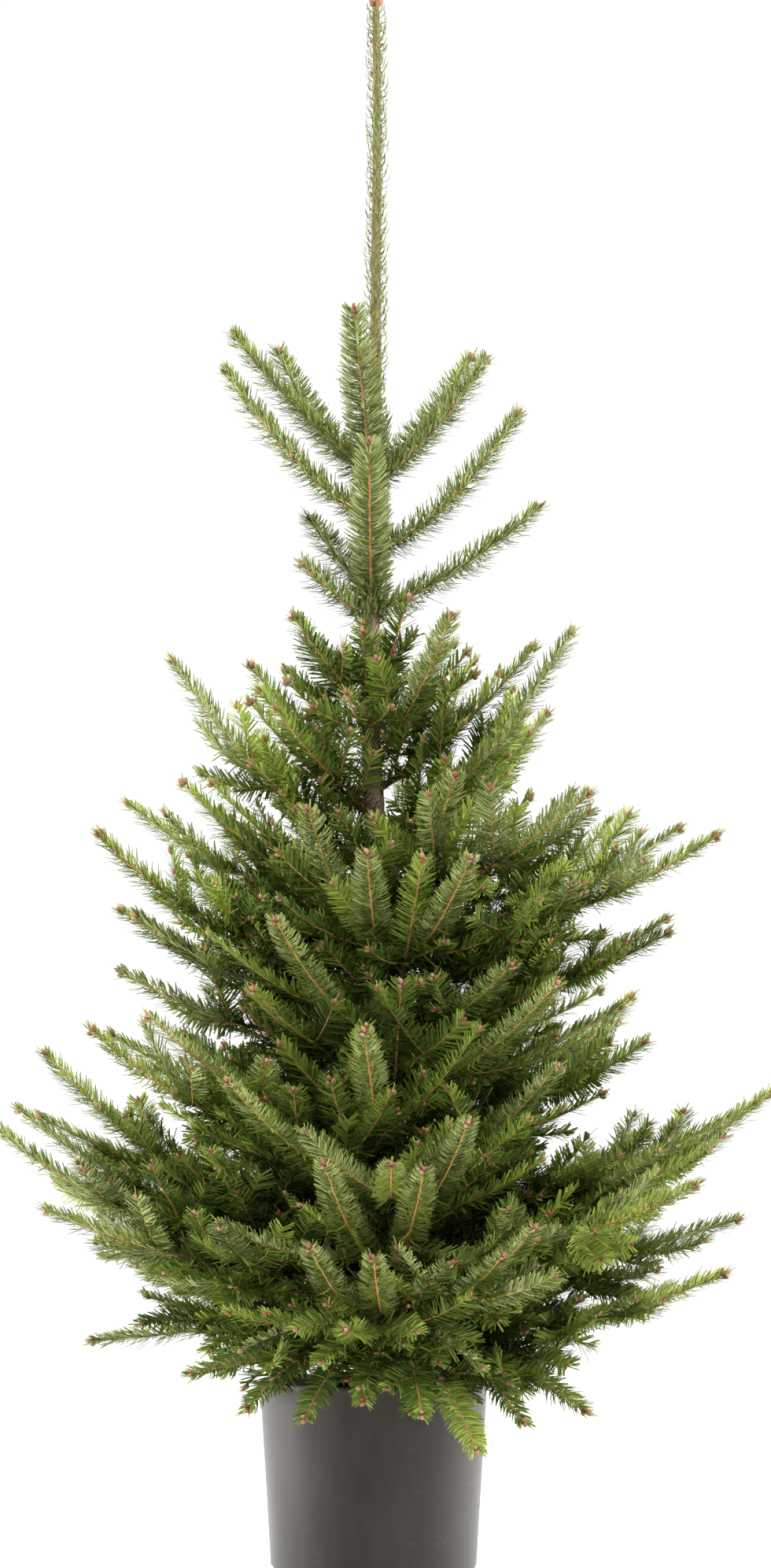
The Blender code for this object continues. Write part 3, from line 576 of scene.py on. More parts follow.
def needle_materials():
    """The greens of the needles' upper sides, then the pale ones of their undersides."""
    made = []
    for side, colours, roughness, specular in (("top", NEEDLE_TOPS, 0.60, 0.12),
                                               ("under", NEEDLE_UNDERS, 0.70, 0.10)):
        for index, colour in enumerate(colours, 1):
            light = [channel * NEEDLE_SHIFT for channel in colour]
            made.append(mottled(f"needle_{side}_{index}", colour, light, NEEDLE_MOTTLE, roughness,
                                specular=specular))
    return made


# Mesh making

def mesh_object(name, points, quads, materials, slots=None, smooth=False, triangles=()):
    """A mesh object from points, quads and then triangles, with a material slot for each face."""
    mesh = bpy.data.meshes.new(name)
    points = np.asarray(points, dtype=np.float32)
    quads = np.asarray(quads, dtype=np.int32)
    count = len(quads)
    corners = quads.ravel()
    starts = np.arange(count, dtype=np.int32) * 4
    if len(triangles):
        triangles = np.asarray(triangles, dtype=np.int32)
        more = len(corners) + np.arange(len(triangles), dtype=np.int32) * 3
        starts = np.concatenate([starts, more])
        corners = np.concatenate([corners, triangles.ravel()])
        count += len(triangles)
    mesh.vertices.add(len(points))
    mesh.vertices.foreach_set("co", points.ravel())
    mesh.loops.add(len(corners))
    mesh.loops.foreach_set("vertex_index", corners)
    mesh.polygons.add(count)
    mesh.polygons.foreach_set("loop_start", starts)
    if slots is not None:
        mesh.polygons.foreach_set("material_index", np.asarray(slots, dtype=np.int32))
    mesh.polygons.foreach_set("use_smooth", np.full(count, smooth))
    for material in materials:
        mesh.materials.append(material)
    mesh.update(calc_edges=True)
    made = bpy.data.objects.new(name, mesh)
    bpy.context.scene.collection.objects.link(made)
    return made


def place_piece(made, nodes=()):
    """Put a piece on the frame: its body and the nodes that it stands for."""
    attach(made, BODY)
    if nodes:
        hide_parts(*nodes)


def as_array(points):
    """Vectors as the rows of an array."""
    return np.array([tuple(point) for point in points])


def unit(vectors):
    return vectors / np.maximum(np.linalg.norm(vectors, axis=-1, keepdims=True), 1e-9)


def ring_points(radius, height, sides):
    """A level ring of points round the upright axis."""
    turn = np.arange(sides) * math.tau / sides
    return np.stack([np.cos(turn) * radius, np.sin(turn) * radius, np.full(sides, height)], axis=1)


def ring_rows(rows, sides, first=0):
    """The numbers of the points of some rings, a row for each ring."""
    return np.arange(rows * sides).reshape(rows, sides) + first


def ring_quads(index):
    """Quads between the rings of a body, from the numbers of their points."""
    after = np.roll(index, -1, axis=1)
    return np.stack([index[:-1], after[:-1], after[1:], index[1:]], axis=-1).reshape(-1, 4)


def fan(middle, ring, flip=False):
    """Triangles from a middle point to a ring of points, by their numbers."""
    pairs = [(int(one), int(other)) for one, other in zip(ring, np.roll(ring, -1))]
    return [(middle, *pair[::-1]) if flip else (middle, *pair) for pair in pairs]


def sampled(line, share):
    """Places along a line, or values along it, at shares from 0 to 1 of its steps."""
    whole = np.linspace(0.0, 1.0, len(line))
    return np.stack([np.interp(share, whole, column) for column in line.T], axis=-1)


def across_ring(ahead, guide, sides):
    """Unit offsets of a ring of points square to a direction; the guide sets where it starts."""
    side = unit(np.cross(ahead, np.array(guide)))[..., None, :]
    above = np.cross(side, ahead[..., None, :])
    turn = (np.arange(sides) * math.tau / sides)[:, None]
    return np.cos(turn) * side + np.sin(turn) * above


def gather_tubes(lines, steps, rng, rough):
    """All the tubes of some lines in one set of arrays, with the age of each quad."""
    points = []
    quads = []
    ages = []
    first = 0
    for line in lines:
        count = max(2, int(len(line.points) * steps))
        sides = TUBE_SIDES[line.order]
        share = np.linspace(0.0, 1.0, count)
        thick = TOP_WHORL_THICK if line.bough.years == 1 else 1.0
        middle = sampled(as_array(line.points), share)
        radii, age = sampled(np.array([line.radii, line.ages]).T, share).T
        relief = 1.0 + rough * rng.normal(size=(count, sides))
        relief[-1] = TIP_TAPER
        ring = across_ring(unit(np.gradient(middle, axis=0)), TUBE_GUIDE, sides)
        made = middle[:, None, :] + ring * (radii[:, None] * thick * relief)[:, :, None]
        points.append(made.reshape(-1, 3))
        quads.append(ring_quads(ring_rows(count, sides, first)))
        ages.append(np.repeat(age[:-1], sides))
        first += count * sides
    return np.concatenate(points), np.concatenate(quads), np.concatenate(ages)


# Needles
NEEDLE_LENGTH = 0.0245
NEEDLE_HALF_WIDTH = 0.00076
NEEDLE_THICK = 0.00028
FEWEST_NEEDLES = 4
FINE_SHARE = 0.14
# The three makes of needle: bent or straight with two faces, and one face deep in the crown
BENT, STRAIGHT, DEEP = 2, 1, 0
DEEP_WITHIN = 0.62
DEPTH_WIDTH = ((0.40, 1.90), (0.62, 1.40), (0.82, 1.0))
# How fresh the green is by the shoot's age; then painted light and shade by the height in the crown, and
# painted shade that darkens the green further in toward the trunk
AGE_SHADE = {1: 3.1, 2: 2.1, 3: 1.2, 4: 0.6}
HEIGHT_PAINTED_LIGHT_AND_SHADE = ((0.22, -0.9), (0.32, 0.0), (0.74, 0.0), (0.90, 0.9), (1.06, 0.5), (1.14, -1.2))
DEPTH_PAINTED_SHADE = ((0.35, -1.7), (0.60, -0.7), (0.80, 0.2), (1.00, 0.6))
SHOOT_SHADES = 0.50
NEEDLE_SHADES = 0.60
TIP_SHADE = 3.3
TIP_SHADE_FROM = 0.7
PALE_SHARE = 0.30
PALE_FRESH = 0.20
AGE_SHARE = {1: 1.0, 2: 0.66, 3: 0.40, 4: 0.20}
DEPTH_SHARE = ((0.40, 0.42), (0.62, 0.72), (0.82, 1.0))
# Sections of a needle as the share of its length and of its width
NEEDLE_FINE = ((0.0, 0.60), (0.55, 1.0), (1.0, 0.42))
NEEDLE_PLAIN = ((0.0, 0.85), (1.0, 0.55))
# Ranks of needles on a shoot: their share, their tilt with its spread in degrees, and their length
RANKS = (
    (0.44, 2.0, 8.0, 1.0), (0.28, 30.0, 10.0, 0.92), (0.08, 58.0, 10.0, 0.74), (0.20, -28.0, 11.0, 0.92),
)
ROUND_RANKS = ((0.46, 2.0, 14.0, 1.0), (0.30, -38.0, 18.0, 0.94), (0.24, 40.0, 16.0, 0.86))
STEEP = 0.50
LEAN = 56.0
LEAN_FORWARD = 18.0
LEAN_SPREAD = 4.5
OLD_LEAN = 7.0
BLADE_FORWARD = 0.35
BLADE_SPREAD = 0.14
FINE_TWIG_LENGTH = 0.94
# Needles are shorter at a shoot's foot, as shares along it and of their length, and at a fresh tip
FOOT_LENGTH = ((0.0, 0.10), (0.72, 1.0))
TIP_SHORTER = 0.40
TIP_FROM = 0.62
TIP_POWER = 1.6
LENGTH_SPREAD = 0.07
WIDTH_SPREAD = 0.08
BOW_ALONG = 0.8
BOW_ABOVE = 0.25
BOW = (0.05, 0.14)
# The one-year boughs of the top whorl have more, longer and wider needles that lean out further
TOP_WHORL_SHARE = 1.35
TOP_WHORL_LEAN = 66.0
TOP_WHORL_LENGTH = 1.10
TOP_WHORL_WIDTH = 1.20
# Needles of the trunk itself: where, how many, how long, their lean, the seed and the shades
StemNeedles = namedtuple("StemNeedles", "low high count length lean seed shades")
STEM_NEEDLES = (
    StemNeedles(CLAD_LOW, CLAD_HIGH, 820, 0.0165, 46.0, 21, (0.8, 3.8)),
    StemNeedles(CLAD_HIGH, LEADER_HIGH, 600, 0.0130, 36.0, 22, (0.4, 3.4)),
)
STEM_TURN = 2.39996
STEM_TURN_SPREAD = 0.15
STEM_ROOT = 0.9
STEM_LEAN_SPREAD = 8.0
STEM_SIDEWAYS = 0.22
STEM_LENGTH_SPREAD = 0.10
STEM_BOW = (0.14, 0.26)
STEM_WIDTH = 1.25
# Pieces of needles: the name, the tiers, and 1 for the left side or -1 for the right
GROUPS = (
    ("needles_top", "12", None), ("needles_upper_left", "3", 1), ("needles_upper_right", "3", -1),
    ("needles_middle_left", "4", 1), ("needles_middle_right", "4", -1),
    ("needles_lower_left", "5", 1), ("needles_lower_right", "5", -1),
)

Needles = namedtuple("Needles", "base ahead blade bow length width shade under kind")


def outwardness(shoot):
    """How far out in the crown a shoot ends: 0 at the trunk, 1 at the crown's edge."""
    tip = shoot.points[-1]
    return math.hypot(tip.x, tip.y) / between(CROWN, tip.z)


def needle_share(shoot):
    """How densely a shoot is set, against a fresh one at the crown's edge."""
    if shoot.bough.years == 1:
        return TOP_WHORL_SHARE
    return AGE_SHARE[shoot.age] * between(DEPTH_SHARE, outwardness(shoot))


def square_to(vectors, ahead):
    """Unit vectors with the part that lies along each direction taken out of them."""
    return unit(vectors - ahead * (ahead * vectors).sum(axis=1)[:, None])


def whole_shades(shades):
    """Whole shades, kept within the greens of the needles' upper sides."""
    return np.clip(np.round(shades), 0, len(NEEDLE_TOPS) - 1).astype(int)


def shoot_needles(shoot, per_metre):
    """The needles of one shoot, in ranks on both its sides, as arrays."""
    rng = np.random.default_rng(random.Random(shoot.label).randrange(2 ** 31))
    top = shoot.bough.years == 1
    fresh = shoot.age == 1
    line = as_array(shoot.points)
    count = int(np.linalg.norm(np.diff(line, axis=0), axis=1).sum() * per_metre)
    if count < FEWEST_NEEDLES:
        return None
    share = (np.arange(count) + rng.random(count)) / count
    base = sampled(line, share)
    along = unit(sampled(unit(np.gradient(line, axis=0)), share))
    across = square_to(np.array(tuple(shoot.across))[None], along)
    above = np.cross(along, across)
    steep = abs(along[0, 2]) > STEEP and fresh
    pick = rng.random(count)
    tilt = np.zeros(count)
    reach = np.ones(count)
    low = 0.0
    ranks = ROUND_RANKS if steep or top else RANKS
    for chance, middle, spread, size in ranks:
        chosen = (pick >= low) & (pick < low + chance)
        tilt[chosen] = rng.normal(middle, spread, chosen.sum())
        reach[chosen] = size
        low += chance
    tilt = np.radians(tilt)
    side = np.where(np.arange(count) % 2 == 0, 1.0, -1.0)
    spread = across * (side * np.cos(tilt))[:, None] + above * np.sin(tilt)[:, None]
    lean = (TOP_WHORL_LEAN if top else LEAN) - LEAN_FORWARD * share ** 3
    lean = np.radians(lean + rng.normal(0.0, LEAN_SPREAD, count) + (0.0 if fresh else OLD_LEAN))
    ahead = unit(along * np.cos(lean)[:, None] + spread * np.sin(lean)[:, None])
    forward = BLADE_FORWARD + (1.0 - BLADE_FORWARD) * np.sin(np.abs(tilt))
    shine = above * np.cos(tilt)[:, None] + along * forward[:, None]
    shine += across * rng.normal(0.0, BLADE_SPREAD, count)[:, None]
    blade = square_to(shine, ahead)
    size = NEEDLE_LENGTH * (TOP_WHORL_LENGTH if top else 1.0 if shoot.order < 2 else FINE_TWIG_LENGTH)
    size = size * reach * np.interp(share, *FOOT_LENGTH)
    if fresh:
        size *= 1.0 - TIP_SHORTER * np.maximum(0.0, (share - TIP_FROM) / (1.0 - TIP_FROM)) ** TIP_POWER
    size *= rng.normal(1.0, LENGTH_SPREAD, count)
    bow = unit(along * BOW_ALONG + above * BOW_ABOVE) * (size * rng.uniform(*BOW, count))[:, None]
    out = 1.0 if top else outwardness(shoot)
    # painted shade: the green is darker the deeper a shoot ends inside the crown
    shade = AGE_SHADE[shoot.age] + between(DEPTH_PAINTED_SHADE, out) + rng.normal(0.0, SHOOT_SHADES)
    # painted light and shade by height: paler greens high in the crown, darker ones low by the pot and in the
    # top whorl
    shade += between(HEIGHT_PAINTED_LIGHT_AND_SHADE, shoot.points[-1].z)
    shade = shade + rng.normal(0.0, NEEDLE_SHADES, count)
    if fresh:
        shade += TIP_SHADE * np.maximum(0.0, share - TIP_SHADE_FROM)
    pale = rng.random(count) < PALE_SHARE + PALE_FRESH * fresh
    width = NEEDLE_HALF_WIDTH * between(DEPTH_WIDTH, out) * rng.normal(1.0, WIDTH_SPREAD, count)
    width *= TOP_WHORL_WIDTH if top else 1.0
    fine = (fresh and shoot.order == 0) | (rng.random(count) < FINE_SHARE)
    kind = np.where(fine, BENT, STRAIGHT)
    if out < DEEP_WITHIN or shoot.age > 2:
        kind[:] = DEEP
    return Needles(base, ahead, blade, bow, size, width, whole_shades(shade), len(NEEDLE_TOPS) + pale, kind)


def stem_needles(stem):
    """Needles all round the trunk between two heights, curving up."""
    rng = np.random.default_rng(stem.seed)
    count = stem.count
    height = stem.low + (stem.high - stem.low) * (np.arange(count) + rng.random(count)) / count
    turn = np.arange(count) * STEM_TURN + rng.normal(0.0, STEM_TURN_SPREAD, count)
    out = np.stack([np.cos(turn), np.sin(turn), np.zeros(count)], axis=1)
    radius = np.array([trunk_radius(float(z)) for z in height])
    base = as_array(trunk_middle(float(z)) for z in height) + out * (radius * STEM_ROOT)[:, None]
    up = np.array(UP)[None]
    lean = np.radians(rng.normal(stem.lean, STEM_LEAN_SPREAD, count))
    ahead = unit(out * np.sin(lean)[:, None] + up * np.cos(lean)[:, None])
    blade = square_to(up, ahead)
    sideways = np.cross(ahead, blade)
    ahead = unit(ahead + sideways * rng.normal(0.0, STEM_SIDEWAYS, count)[:, None])
    blade = square_to(blade, ahead)
    length = stem.length * rng.normal(1.0, STEM_LENGTH_SPREAD, count)
    bow = blade * (length * rng.uniform(*STEM_BOW, count))[:, None]
    shade = whole_shades(rng.uniform(*stem.shades, count))
    width = np.full(count, NEEDLE_HALF_WIDTH * STEM_WIDTH)
    under = np.full(count, len(NEEDLE_TOPS))
    return Needles(base, ahead, blade, bow, length, width, shade, under, np.full(count, BENT))


def blade_arrays(needles, chosen, sections, first, lower=True):
    """Points, quads and slots of the chosen needles: an upper face for each section, and a lower one."""
    base, ahead, blade, bow, length, width, shade, under = (
        getattr(needles, field)[chosen] for field in Needles._fields[:-1])
    across = np.cross(ahead, blade) * width[:, None]
    rings = []
    for share, wide in sections:
        middle = base + ahead * (length * share)[:, None] - bow * 4.0 * share * (1.0 - share)
        rings += [middle + across * wide, middle - across * wide]
        if lower:
            low = middle - blade * NEEDLE_THICK
            rings += [low + across * wide, low - across * wide]
    points = np.stack(rings, axis=1)
    start = first + np.arange(len(base))[:, None, None] * len(rings)
    corners = 4 if lower else 2
    cell = []
    for ring in range(len(sections) - 1):
        left = corners * ring
        after = left + corners
        cell.append((left + 1, left, after, after + 1))
        if lower:
            cell.append((left + 2, left + 3, after + 3, after + 2))
    quads = (start + np.array(cell)[None]).reshape(-1, 4)
    slots = np.stack(([shade, under] if lower else [shade]) * (len(sections) - 1), axis=1).ravel()
    return points.reshape(-1, 3), quads, slots


def needle_object(name, sets, materials):
    """One mesh of needles, the ones that show most with a bend in them."""
    needles = Needles(*(np.concatenate(arrays) for arrays in zip(*sets)))
    fine = blade_arrays(needles, needles.kind == BENT, NEEDLE_FINE, 0)
    plain = blade_arrays(needles, needles.kind == STRAIGHT, NEEDLE_PLAIN, len(fine[0]))
    deep = blade_arrays(needles, needles.kind == DEEP, NEEDLE_PLAIN, len(fine[0]) + len(plain[0]), False)
    points, quads, slots = (np.concatenate(parts) for parts in zip(fine, plain, deep))
    return mesh_object(name, points, quads, materials, slots)


# Pieces

def pot_profile():
    """The pot's section, from the middle of its floor over the rim to the middle of its foot."""
    profile = list(POT_INSIDE)
    half = POT_WALL / 2.0
    for step in range(POT_ROLL_STEPS + 1):
        turn = math.pi * (1.0 - step / POT_ROLL_STEPS)
        radius = POT_RIM_RADIUS - half + math.cos(turn) * half
        profile.append((radius, POT_HEIGHT - half + math.sin(turn) * half))
    profile += POT_LIP
    top = POT_LIP[-1][1]
    foot = POT_FOOT[0][1]
    for step in range(1, POT_SIDE_STEPS):
        height = top + (foot - top) * step / POT_SIDE_STEPS
        profile.append((POT_FOOT_RADIUS + POT_SLOPE * height - POT_SIDE_INSET, height))
    return profile + list(POT_FOOT)


def pot_material():
    """Dull dark plastic with faint blotches, upright scuffs and a dusty sheen."""
    material, tree, shader = new_material("pot_plastic", 0.40, 0.14, 0.34)
    blotch = noise_node(tree, 13.0, 5.0, (1.0, 1.0, 0.40))
    scuff = noise_node(tree, 160.0, 4.0, (0.25, 0.25, 1.0))
    grain = noise_node(tree, 420.0, 2.0)
    colour = mix_node(tree, ramp_node(tree, blotch, 0.36, 0.66), (0.015, 0.011, 0.009), (0.033, 0.027, 0.022))
    colour = mix_node(tree, ramp_node(tree, scuff, 0.62, 0.86), colour, (0.060, 0.052, 0.048))
    tree.links.new(colour, shader.inputs["Base Color"])
    tree.links.new(ramp_node(tree, blotch, 0.2, 0.8, 0.33, 0.45), shader.inputs["Roughness"])
    tree.links.new(bump_node(tree, grain, 0.00012, 0.5), shader.inputs["Normal"])
    return material


def pot_piece(properties):
    """The pot: turned finely, with a rolled rim, a foot step and drain slots cut through."""
    sides = properties.pot_sides
    floor, *profile, foot = pot_profile()
    points = [np.array([(0.0, 0.0, floor[1])])]
    points += [ring_points(radius, height, sides) for radius, height in profile]
    points.append(np.array([(0.0, 0.0, foot[1])]))
    index = ring_rows(len(profile), sides, 1)
    caps = fan(0, index[0]) + fan(1 + index.size, index[-1], flip=True)
    pot = mesh_object("pot_shell", np.concatenate(points), ring_quads(index)[:, ::-1], [pot_material()],
                      smooth=True, triangles=caps)
    for slot in range(SLOT_COUNT):
        cutter = slot_cutter(SLOT_FIRST + math.tau * slot / SLOT_COUNT)
        cut = pot.modifiers.new(f"slot_{slot + 1}", "BOOLEAN")
        cut.operation = "DIFFERENCE"
        cut.solver = "EXACT"
        cut.object = cutter
        apply_modifiers(pot)
        bpy.data.objects.remove(cutter)
    edges = pot.modifiers.new("edges", "EDGE_SPLIT")
    edges.split_angle = POT_SHARP_EDGE
    apply_modifiers(pot)
    place_piece(pot, ("pot",))


def slot_cutter(turn):
    """A wide low box with rounded ends, lying across the pot's wall at its foot."""
    middle = (SLOT_LOW + SLOT_HIGH) / 2.0
    half = (SLOT_HIGH - SLOT_LOW) / 2.0
    outline = []
    for end in (1.0, -1.0):
        for step in range(SLOT_STEPS + 1):
            angle = math.pi * (step / SLOT_STEPS - 0.5)
            wide = SLOT_WIDTH / 2.0 - half + half * math.cos(angle)
            outline.append((end * wide, end * half * math.sin(angle)))
    count = len(outline)
    points = []
    for radial in (POT_FOOT_RADIUS - SLOT_DEPTH / 2.0, POT_FOOT_RADIUS + SLOT_DEPTH / 2.0):
        for wide, high in outline:
            points.append((math.cos(turn) * radial - math.sin(turn) * wide,
                           math.sin(turn) * radial + math.cos(turn) * wide, middle + high))
    faces = [tuple(range(count))[::-1], tuple(range(count, 2 * count))]
    faces += [(i, (i + 1) % count, (i + 1) % count + count, i + count) for i in range(count)]
    mesh = bpy.data.meshes.new("slot_cutter")
    mesh.from_pydata(points, [], faces)
    made = bpy.data.objects.new("slot_cutter", mesh)
    bpy.context.scene.collection.objects.link(made)
    return made


def apply_modifiers(made):
    graph = bpy.context.evaluated_depsgraph_get()
    mesh = bpy.data.meshes.new_from_object(made.evaluated_get(graph))
    old = made.data
    made.modifiers.clear()
    made.data = mesh
    bpy.data.meshes.remove(old)


def bark_chips(first):
    """Corners and faces of flat boxes of bark with askew corners, scattered on the compost."""
    rng = np.random.default_rng(SEEDS["chips"])
    corners = []
    faces = []
    for _ in range(CHIP_COUNT):
        radius = (COMPOST_EDGE - CHIP_MARGIN) * math.sqrt(rng.random())
        angle = rng.random() * math.tau
        size = np.array([rng.uniform(*spread) for spread in CHIP_SIZES])
        turned = Matrix.Rotation(rng.random() * math.tau, 3, "Z")
        turned = turned @ Matrix.Rotation(rng.normal(0.0, CHIP_TILT), 3, "X")
        middle = Vector((math.cos(angle) * radius, math.sin(angle) * radius, CHIP_LEVEL))
        start = first + len(corners)
        faces += [[start + corner for corner in face] for face in BOX_FACES]
        for corner in range(8):
            sign = np.array([1 if corner >> axis & 1 else -1 for axis in range(3)])
            corners.append(tuple(middle + turned @ Vector(size * sign * rng.uniform(*CHIP_CORNERS, 3))))
    return corners, faces


def compost_piece():
    """The compost: a lumpy top inside the rim, a plain side below, and chips of bark on it."""
    points = []
    for ring in range(1, COMPOST_RINGS + 1):
        radius = COMPOST_EDGE * ring / COMPOST_RINGS
        for x, y, level in ring_points(radius, COMPOST_TOP - COMPOST_SINK, COMPOST_SIDES):
            for fine, place, high in COMPOST_LUMPS:
                level += noise.noise(Vector((x, y, place)) * fine) * high
            points.append((x, y, level))
    for radius, height in COMPOST_SIDE:
        points += list(ring_points(radius, height, COMPOST_SIDES))
    count = len(points)
    points += [(0.0, 0.0, COMPOST_MIDDLE), (0.0, 0.0, COMPOST_FOOT)]
    index = ring_rows(count // COMPOST_SIDES, COMPOST_SIDES)
    quads = ring_quads(index)[:, (0, 3, 2, 1)]
    caps = fan(count, index[0]) + fan(count + 1, index[-1], flip=True)
    chips, faces = bark_chips(len(points))
    soil = mottled("compost_soil", (0.016, 0.010, 0.007), (0.052, 0.032, 0.020), 150.0, 0.95, 0.0008)
    bark = mottled("compost_chip", (0.050, 0.028, 0.016), (0.120, 0.070, 0.040), 180.0, 0.90, 0.0004)
    slots = [0] * len(quads) + [1] * len(faces) + [0] * len(caps)
    made = mesh_object("compost_lumps", points + chips, np.concatenate([quads, faces]), [soil, bark], slots,
                       triangles=caps)
    place_piece(made, ("compost",))


def bark_material(name, dark, light, seam, scale, depth):
    """Bark: blotches, fine upright cracks in relief, and level scars."""
    material, tree, shader = new_material(name, 0.82, 0.3)
    blotch = noise_node(tree, scale, 5.0, (1.0, 1.0, 0.5))
    cracks = noise_node(tree, scale * 5.0, 4.0, (1.0, 1.0, 0.16))
    scars = noise_node(tree, scale * 3.6, 3.0, (0.5, 0.5, 2.2))
    colour = mix_node(tree, ramp_node(tree, blotch, 0.32, 0.68), dark, light)
    colour = mix_node(tree, ramp_node(tree, cracks, 0.52, 0.68), colour, seam)
    paler = [channel * SCAR_SHIFT for channel in light]
    colour = mix_node(tree, ramp_node(tree, scars, 0.62, 0.74), colour, paler)
    tree.links.new(colour, shader.inputs["Base Color"])
    tree.links.new(bump_node(tree, cracks, depth), shader.inputs["Normal"])
    material.diffuse_color = (*light, 1.0)
    return material


def leader_material():
    """The last year's stem: pale olive, with fine upright streaks of green and brown."""
    material, tree, shader = new_material("bark_leader", 0.70, 0.35)
    streak = noise_node(tree, 420.0, 3.0, (1.0, 1.0, 0.045))
    blotch = noise_node(tree, 46.0, 3.0, (1.0, 1.0, 0.4))
    colour = mix_node(tree, ramp_node(tree, streak, 0.36, 0.64), (0.120, 0.082, 0.040), (0.262, 0.195, 0.100))
    colour = mix_node(tree, ramp_node(tree, blotch, 0.52, 0.80), colour, (0.150, 0.165, 0.062))
    tree.links.new(colour, shader.inputs["Base Color"])
    tree.links.new(bump_node(tree, streak, 0.0005), shader.inputs["Normal"])
    return material


def bark_widths(height, turn):
    """How far the trunk's bark reaches out at one height, at each angle round it."""
    radius = trunk_radius(height)
    leader = min(1.0, max(0.0, (height - CLAD_LOW) / LEADER_BLEND))
    wide = np.full(len(turn), radius)
    for corner, angle in enumerate(turn):
        place = Vector((math.cos(angle), math.sin(angle), 0.0)) * radius
        place.z = height * BARK_STRETCH
        rough = noise.fractal(place * BARK_FINE[0], *BARK_FRACTAL) * BARK_FINE[1]
        rough += abs(noise.noise(place * BARK_COARSE[0] + BARK_APART)) * BARK_COARSE[1]
        ridge = math.cos(angle * LEADER_RIDGES + height * LEADER_TWIST) * LEADER_RIDGE
        ridge += noise.noise(place * LEADER_GRAIN[0]) * LEADER_GRAIN[1]
        wide[corner] += rough * (1.0 - leader) + ridge * leader
    for bough in BOUGHS:
        if abs(height - bough.height) < COLLAR_NEAR:
            apart = np.angle(np.exp(1j * (turn - math.radians(bough.azimuth))))
            above = (height - bough.height + COLLAR_BELOW) / COLLAR_HIGH
            swell = COLLAR_SWELL if bough.height < TOP_COLLARS else TOP_COLLAR_SWELL
            wide += np.exp(-above ** 2 - (apart / COLLAR_WIDE) ** 2) * swell
    return wide


def trunk_piece(properties):
    """The trunk: bark in relief, collars under the boughs, ridges up the leader, a short point at its tip."""
    rng = np.random.default_rng(SEEDS["trunk"])
    sides = properties.trunk_sides
    heights = list(np.arange(TRUNK_FOOT, TRUNK_TOP - TRUNK_LAST_STEP, properties.trunk_step)) + [TRUNK_TOP]
    turn = np.arange(sides) * math.tau / sides
    points = []
    for height in heights:
        ring = ring_points(bark_widths(float(height), turn), height, sides)
        points.append(ring + (trunk_middle(float(height)).x, 0.0, 0.0))
    points.append(as_array([trunk_middle(TRUNK_TOP) + UP * TRUNK_TIP, trunk_middle(TRUNK_FOOT)]))
    index = ring_rows(len(heights), sides)
    quads = ring_quads(index)
    caps = fan(index.size, index[-1]) + fan(index.size + 1, index[0], flip=True)
    level = np.repeat(np.array(heights[:-1]), sides) + rng.normal(0.0, BARK_BLEND, len(quads))
    slots = np.where(level > LEADER_BARK, 2, np.where(level > YOUNG_BARK, 1, 0))
    slots = np.concatenate([slots, np.full(sides, 2), np.zeros(sides, dtype=int)])
    old = bark_material("bark_trunk", (0.190, 0.130, 0.085), (0.370, 0.275, 0.190), (0.075, 0.045, 0.028),
                        46.0, 0.0018)
    young = bark_material("bark_young", (0.240, 0.150, 0.075), (0.420, 0.285, 0.150), (0.120, 0.070, 0.035),
                          90.0, 0.0008)
    made = mesh_object("trunk_bark", np.concatenate(points), quads, [old, young, leader_material()], slots,
                       True, caps)
    place_piece(made, ("trunk",))


def wood_pieces():
    """The boughs, thick with relief, and the finer twigs, each kind one piece."""
    rng = np.random.default_rng(SEEDS["wood"])
    lines = grown()[1]
    old = bark_material("bark_bough", (0.085, 0.058, 0.038), (0.190, 0.135, 0.090), (0.035, 0.022, 0.014),
                        80.0, 0.0010)
    middle = mottled("bark_middle", (0.165, 0.072, 0.030), (0.290, 0.140, 0.062), 260.0, 0.80, 0.0005)
    young = mottled("bark_shoot", (0.430, 0.180, 0.052), (0.600, 0.290, 0.100), 300.0, 0.72, 0.0004)
    boughs = [line for line in lines if line.order == 0]
    twigs = [line for line in lines if line.order > 0]
    limbs = [f"bough_{name}" for name in LIMBS]
    masses = [f"foliage_{bough.name}" for bough in BOUGHS]
    for name, chosen, (steps, rough, oldest), nodes in (
            ("boughs_bark", boughs, BOUGH_TUBES, limbs), ("twigs_bark", twigs, TWIG_TUBES, masses)):
        points, quads, ages = gather_tubes(chosen, steps, rng, rough)
        slots = np.where(ages > oldest, 0, np.where(ages > MIDDLE_AGE, 1, 2))
        place_piece(mesh_object(name, points, quads, [old, middle, young], slots, True), nodes)


def in_group(bough, tiers, side):
    left = 1 if math.cos(math.radians(bough.azimuth)) < 0.0 else -1
    return bough.name[0] in tiers and side in (None, left)


def needle_pieces(properties):
    """All the needles, a piece for each part of the crown and one for the leader."""
    materials = needle_materials()
    for name, tiers, side in GROUPS:
        sets = []
        for shoot in grown()[0]:
            if in_group(shoot.bough, tiers, side):
                got = shoot_needles(shoot, properties.needles_per_metre * needle_share(shoot))
                if got:
                    sets.append(got)
        nodes = [f"foliage_{bough.name}" for bough in BOUGHS if in_group(bough, tiers, side)]
        place_piece(needle_object(name, sets, materials), nodes)
    leader = needle_object("needles_leader", [stem_needles(stem) for stem in STEM_NEEDLES], materials)
    place_piece(leader, ("leader_needles",))


# Buds
# Rings of a bud as the share of its length and of its radius
BUD_RINGS = ((0.0, 0.60), (0.35, 1.0), (0.78, 0.66), (1.0, 0.04))
BUD_SIDES = 4
BUD_GUIDE = (0.31, 0.93, 0.17)
BUD_LENGTH = 0.0066
BUD_LENGTHS = (0.85, 1.1)
BUD_RADIUS = 0.0024
# Size and number of the buds at a tip, by the order of its shoot
BUD_SIZES = {0: 1.15, 1: 1.0, 2: 0.8, 3: 0.7}
BUD_COUNTS = {0: 4, 1: 3, 2: 1, 3: 1}
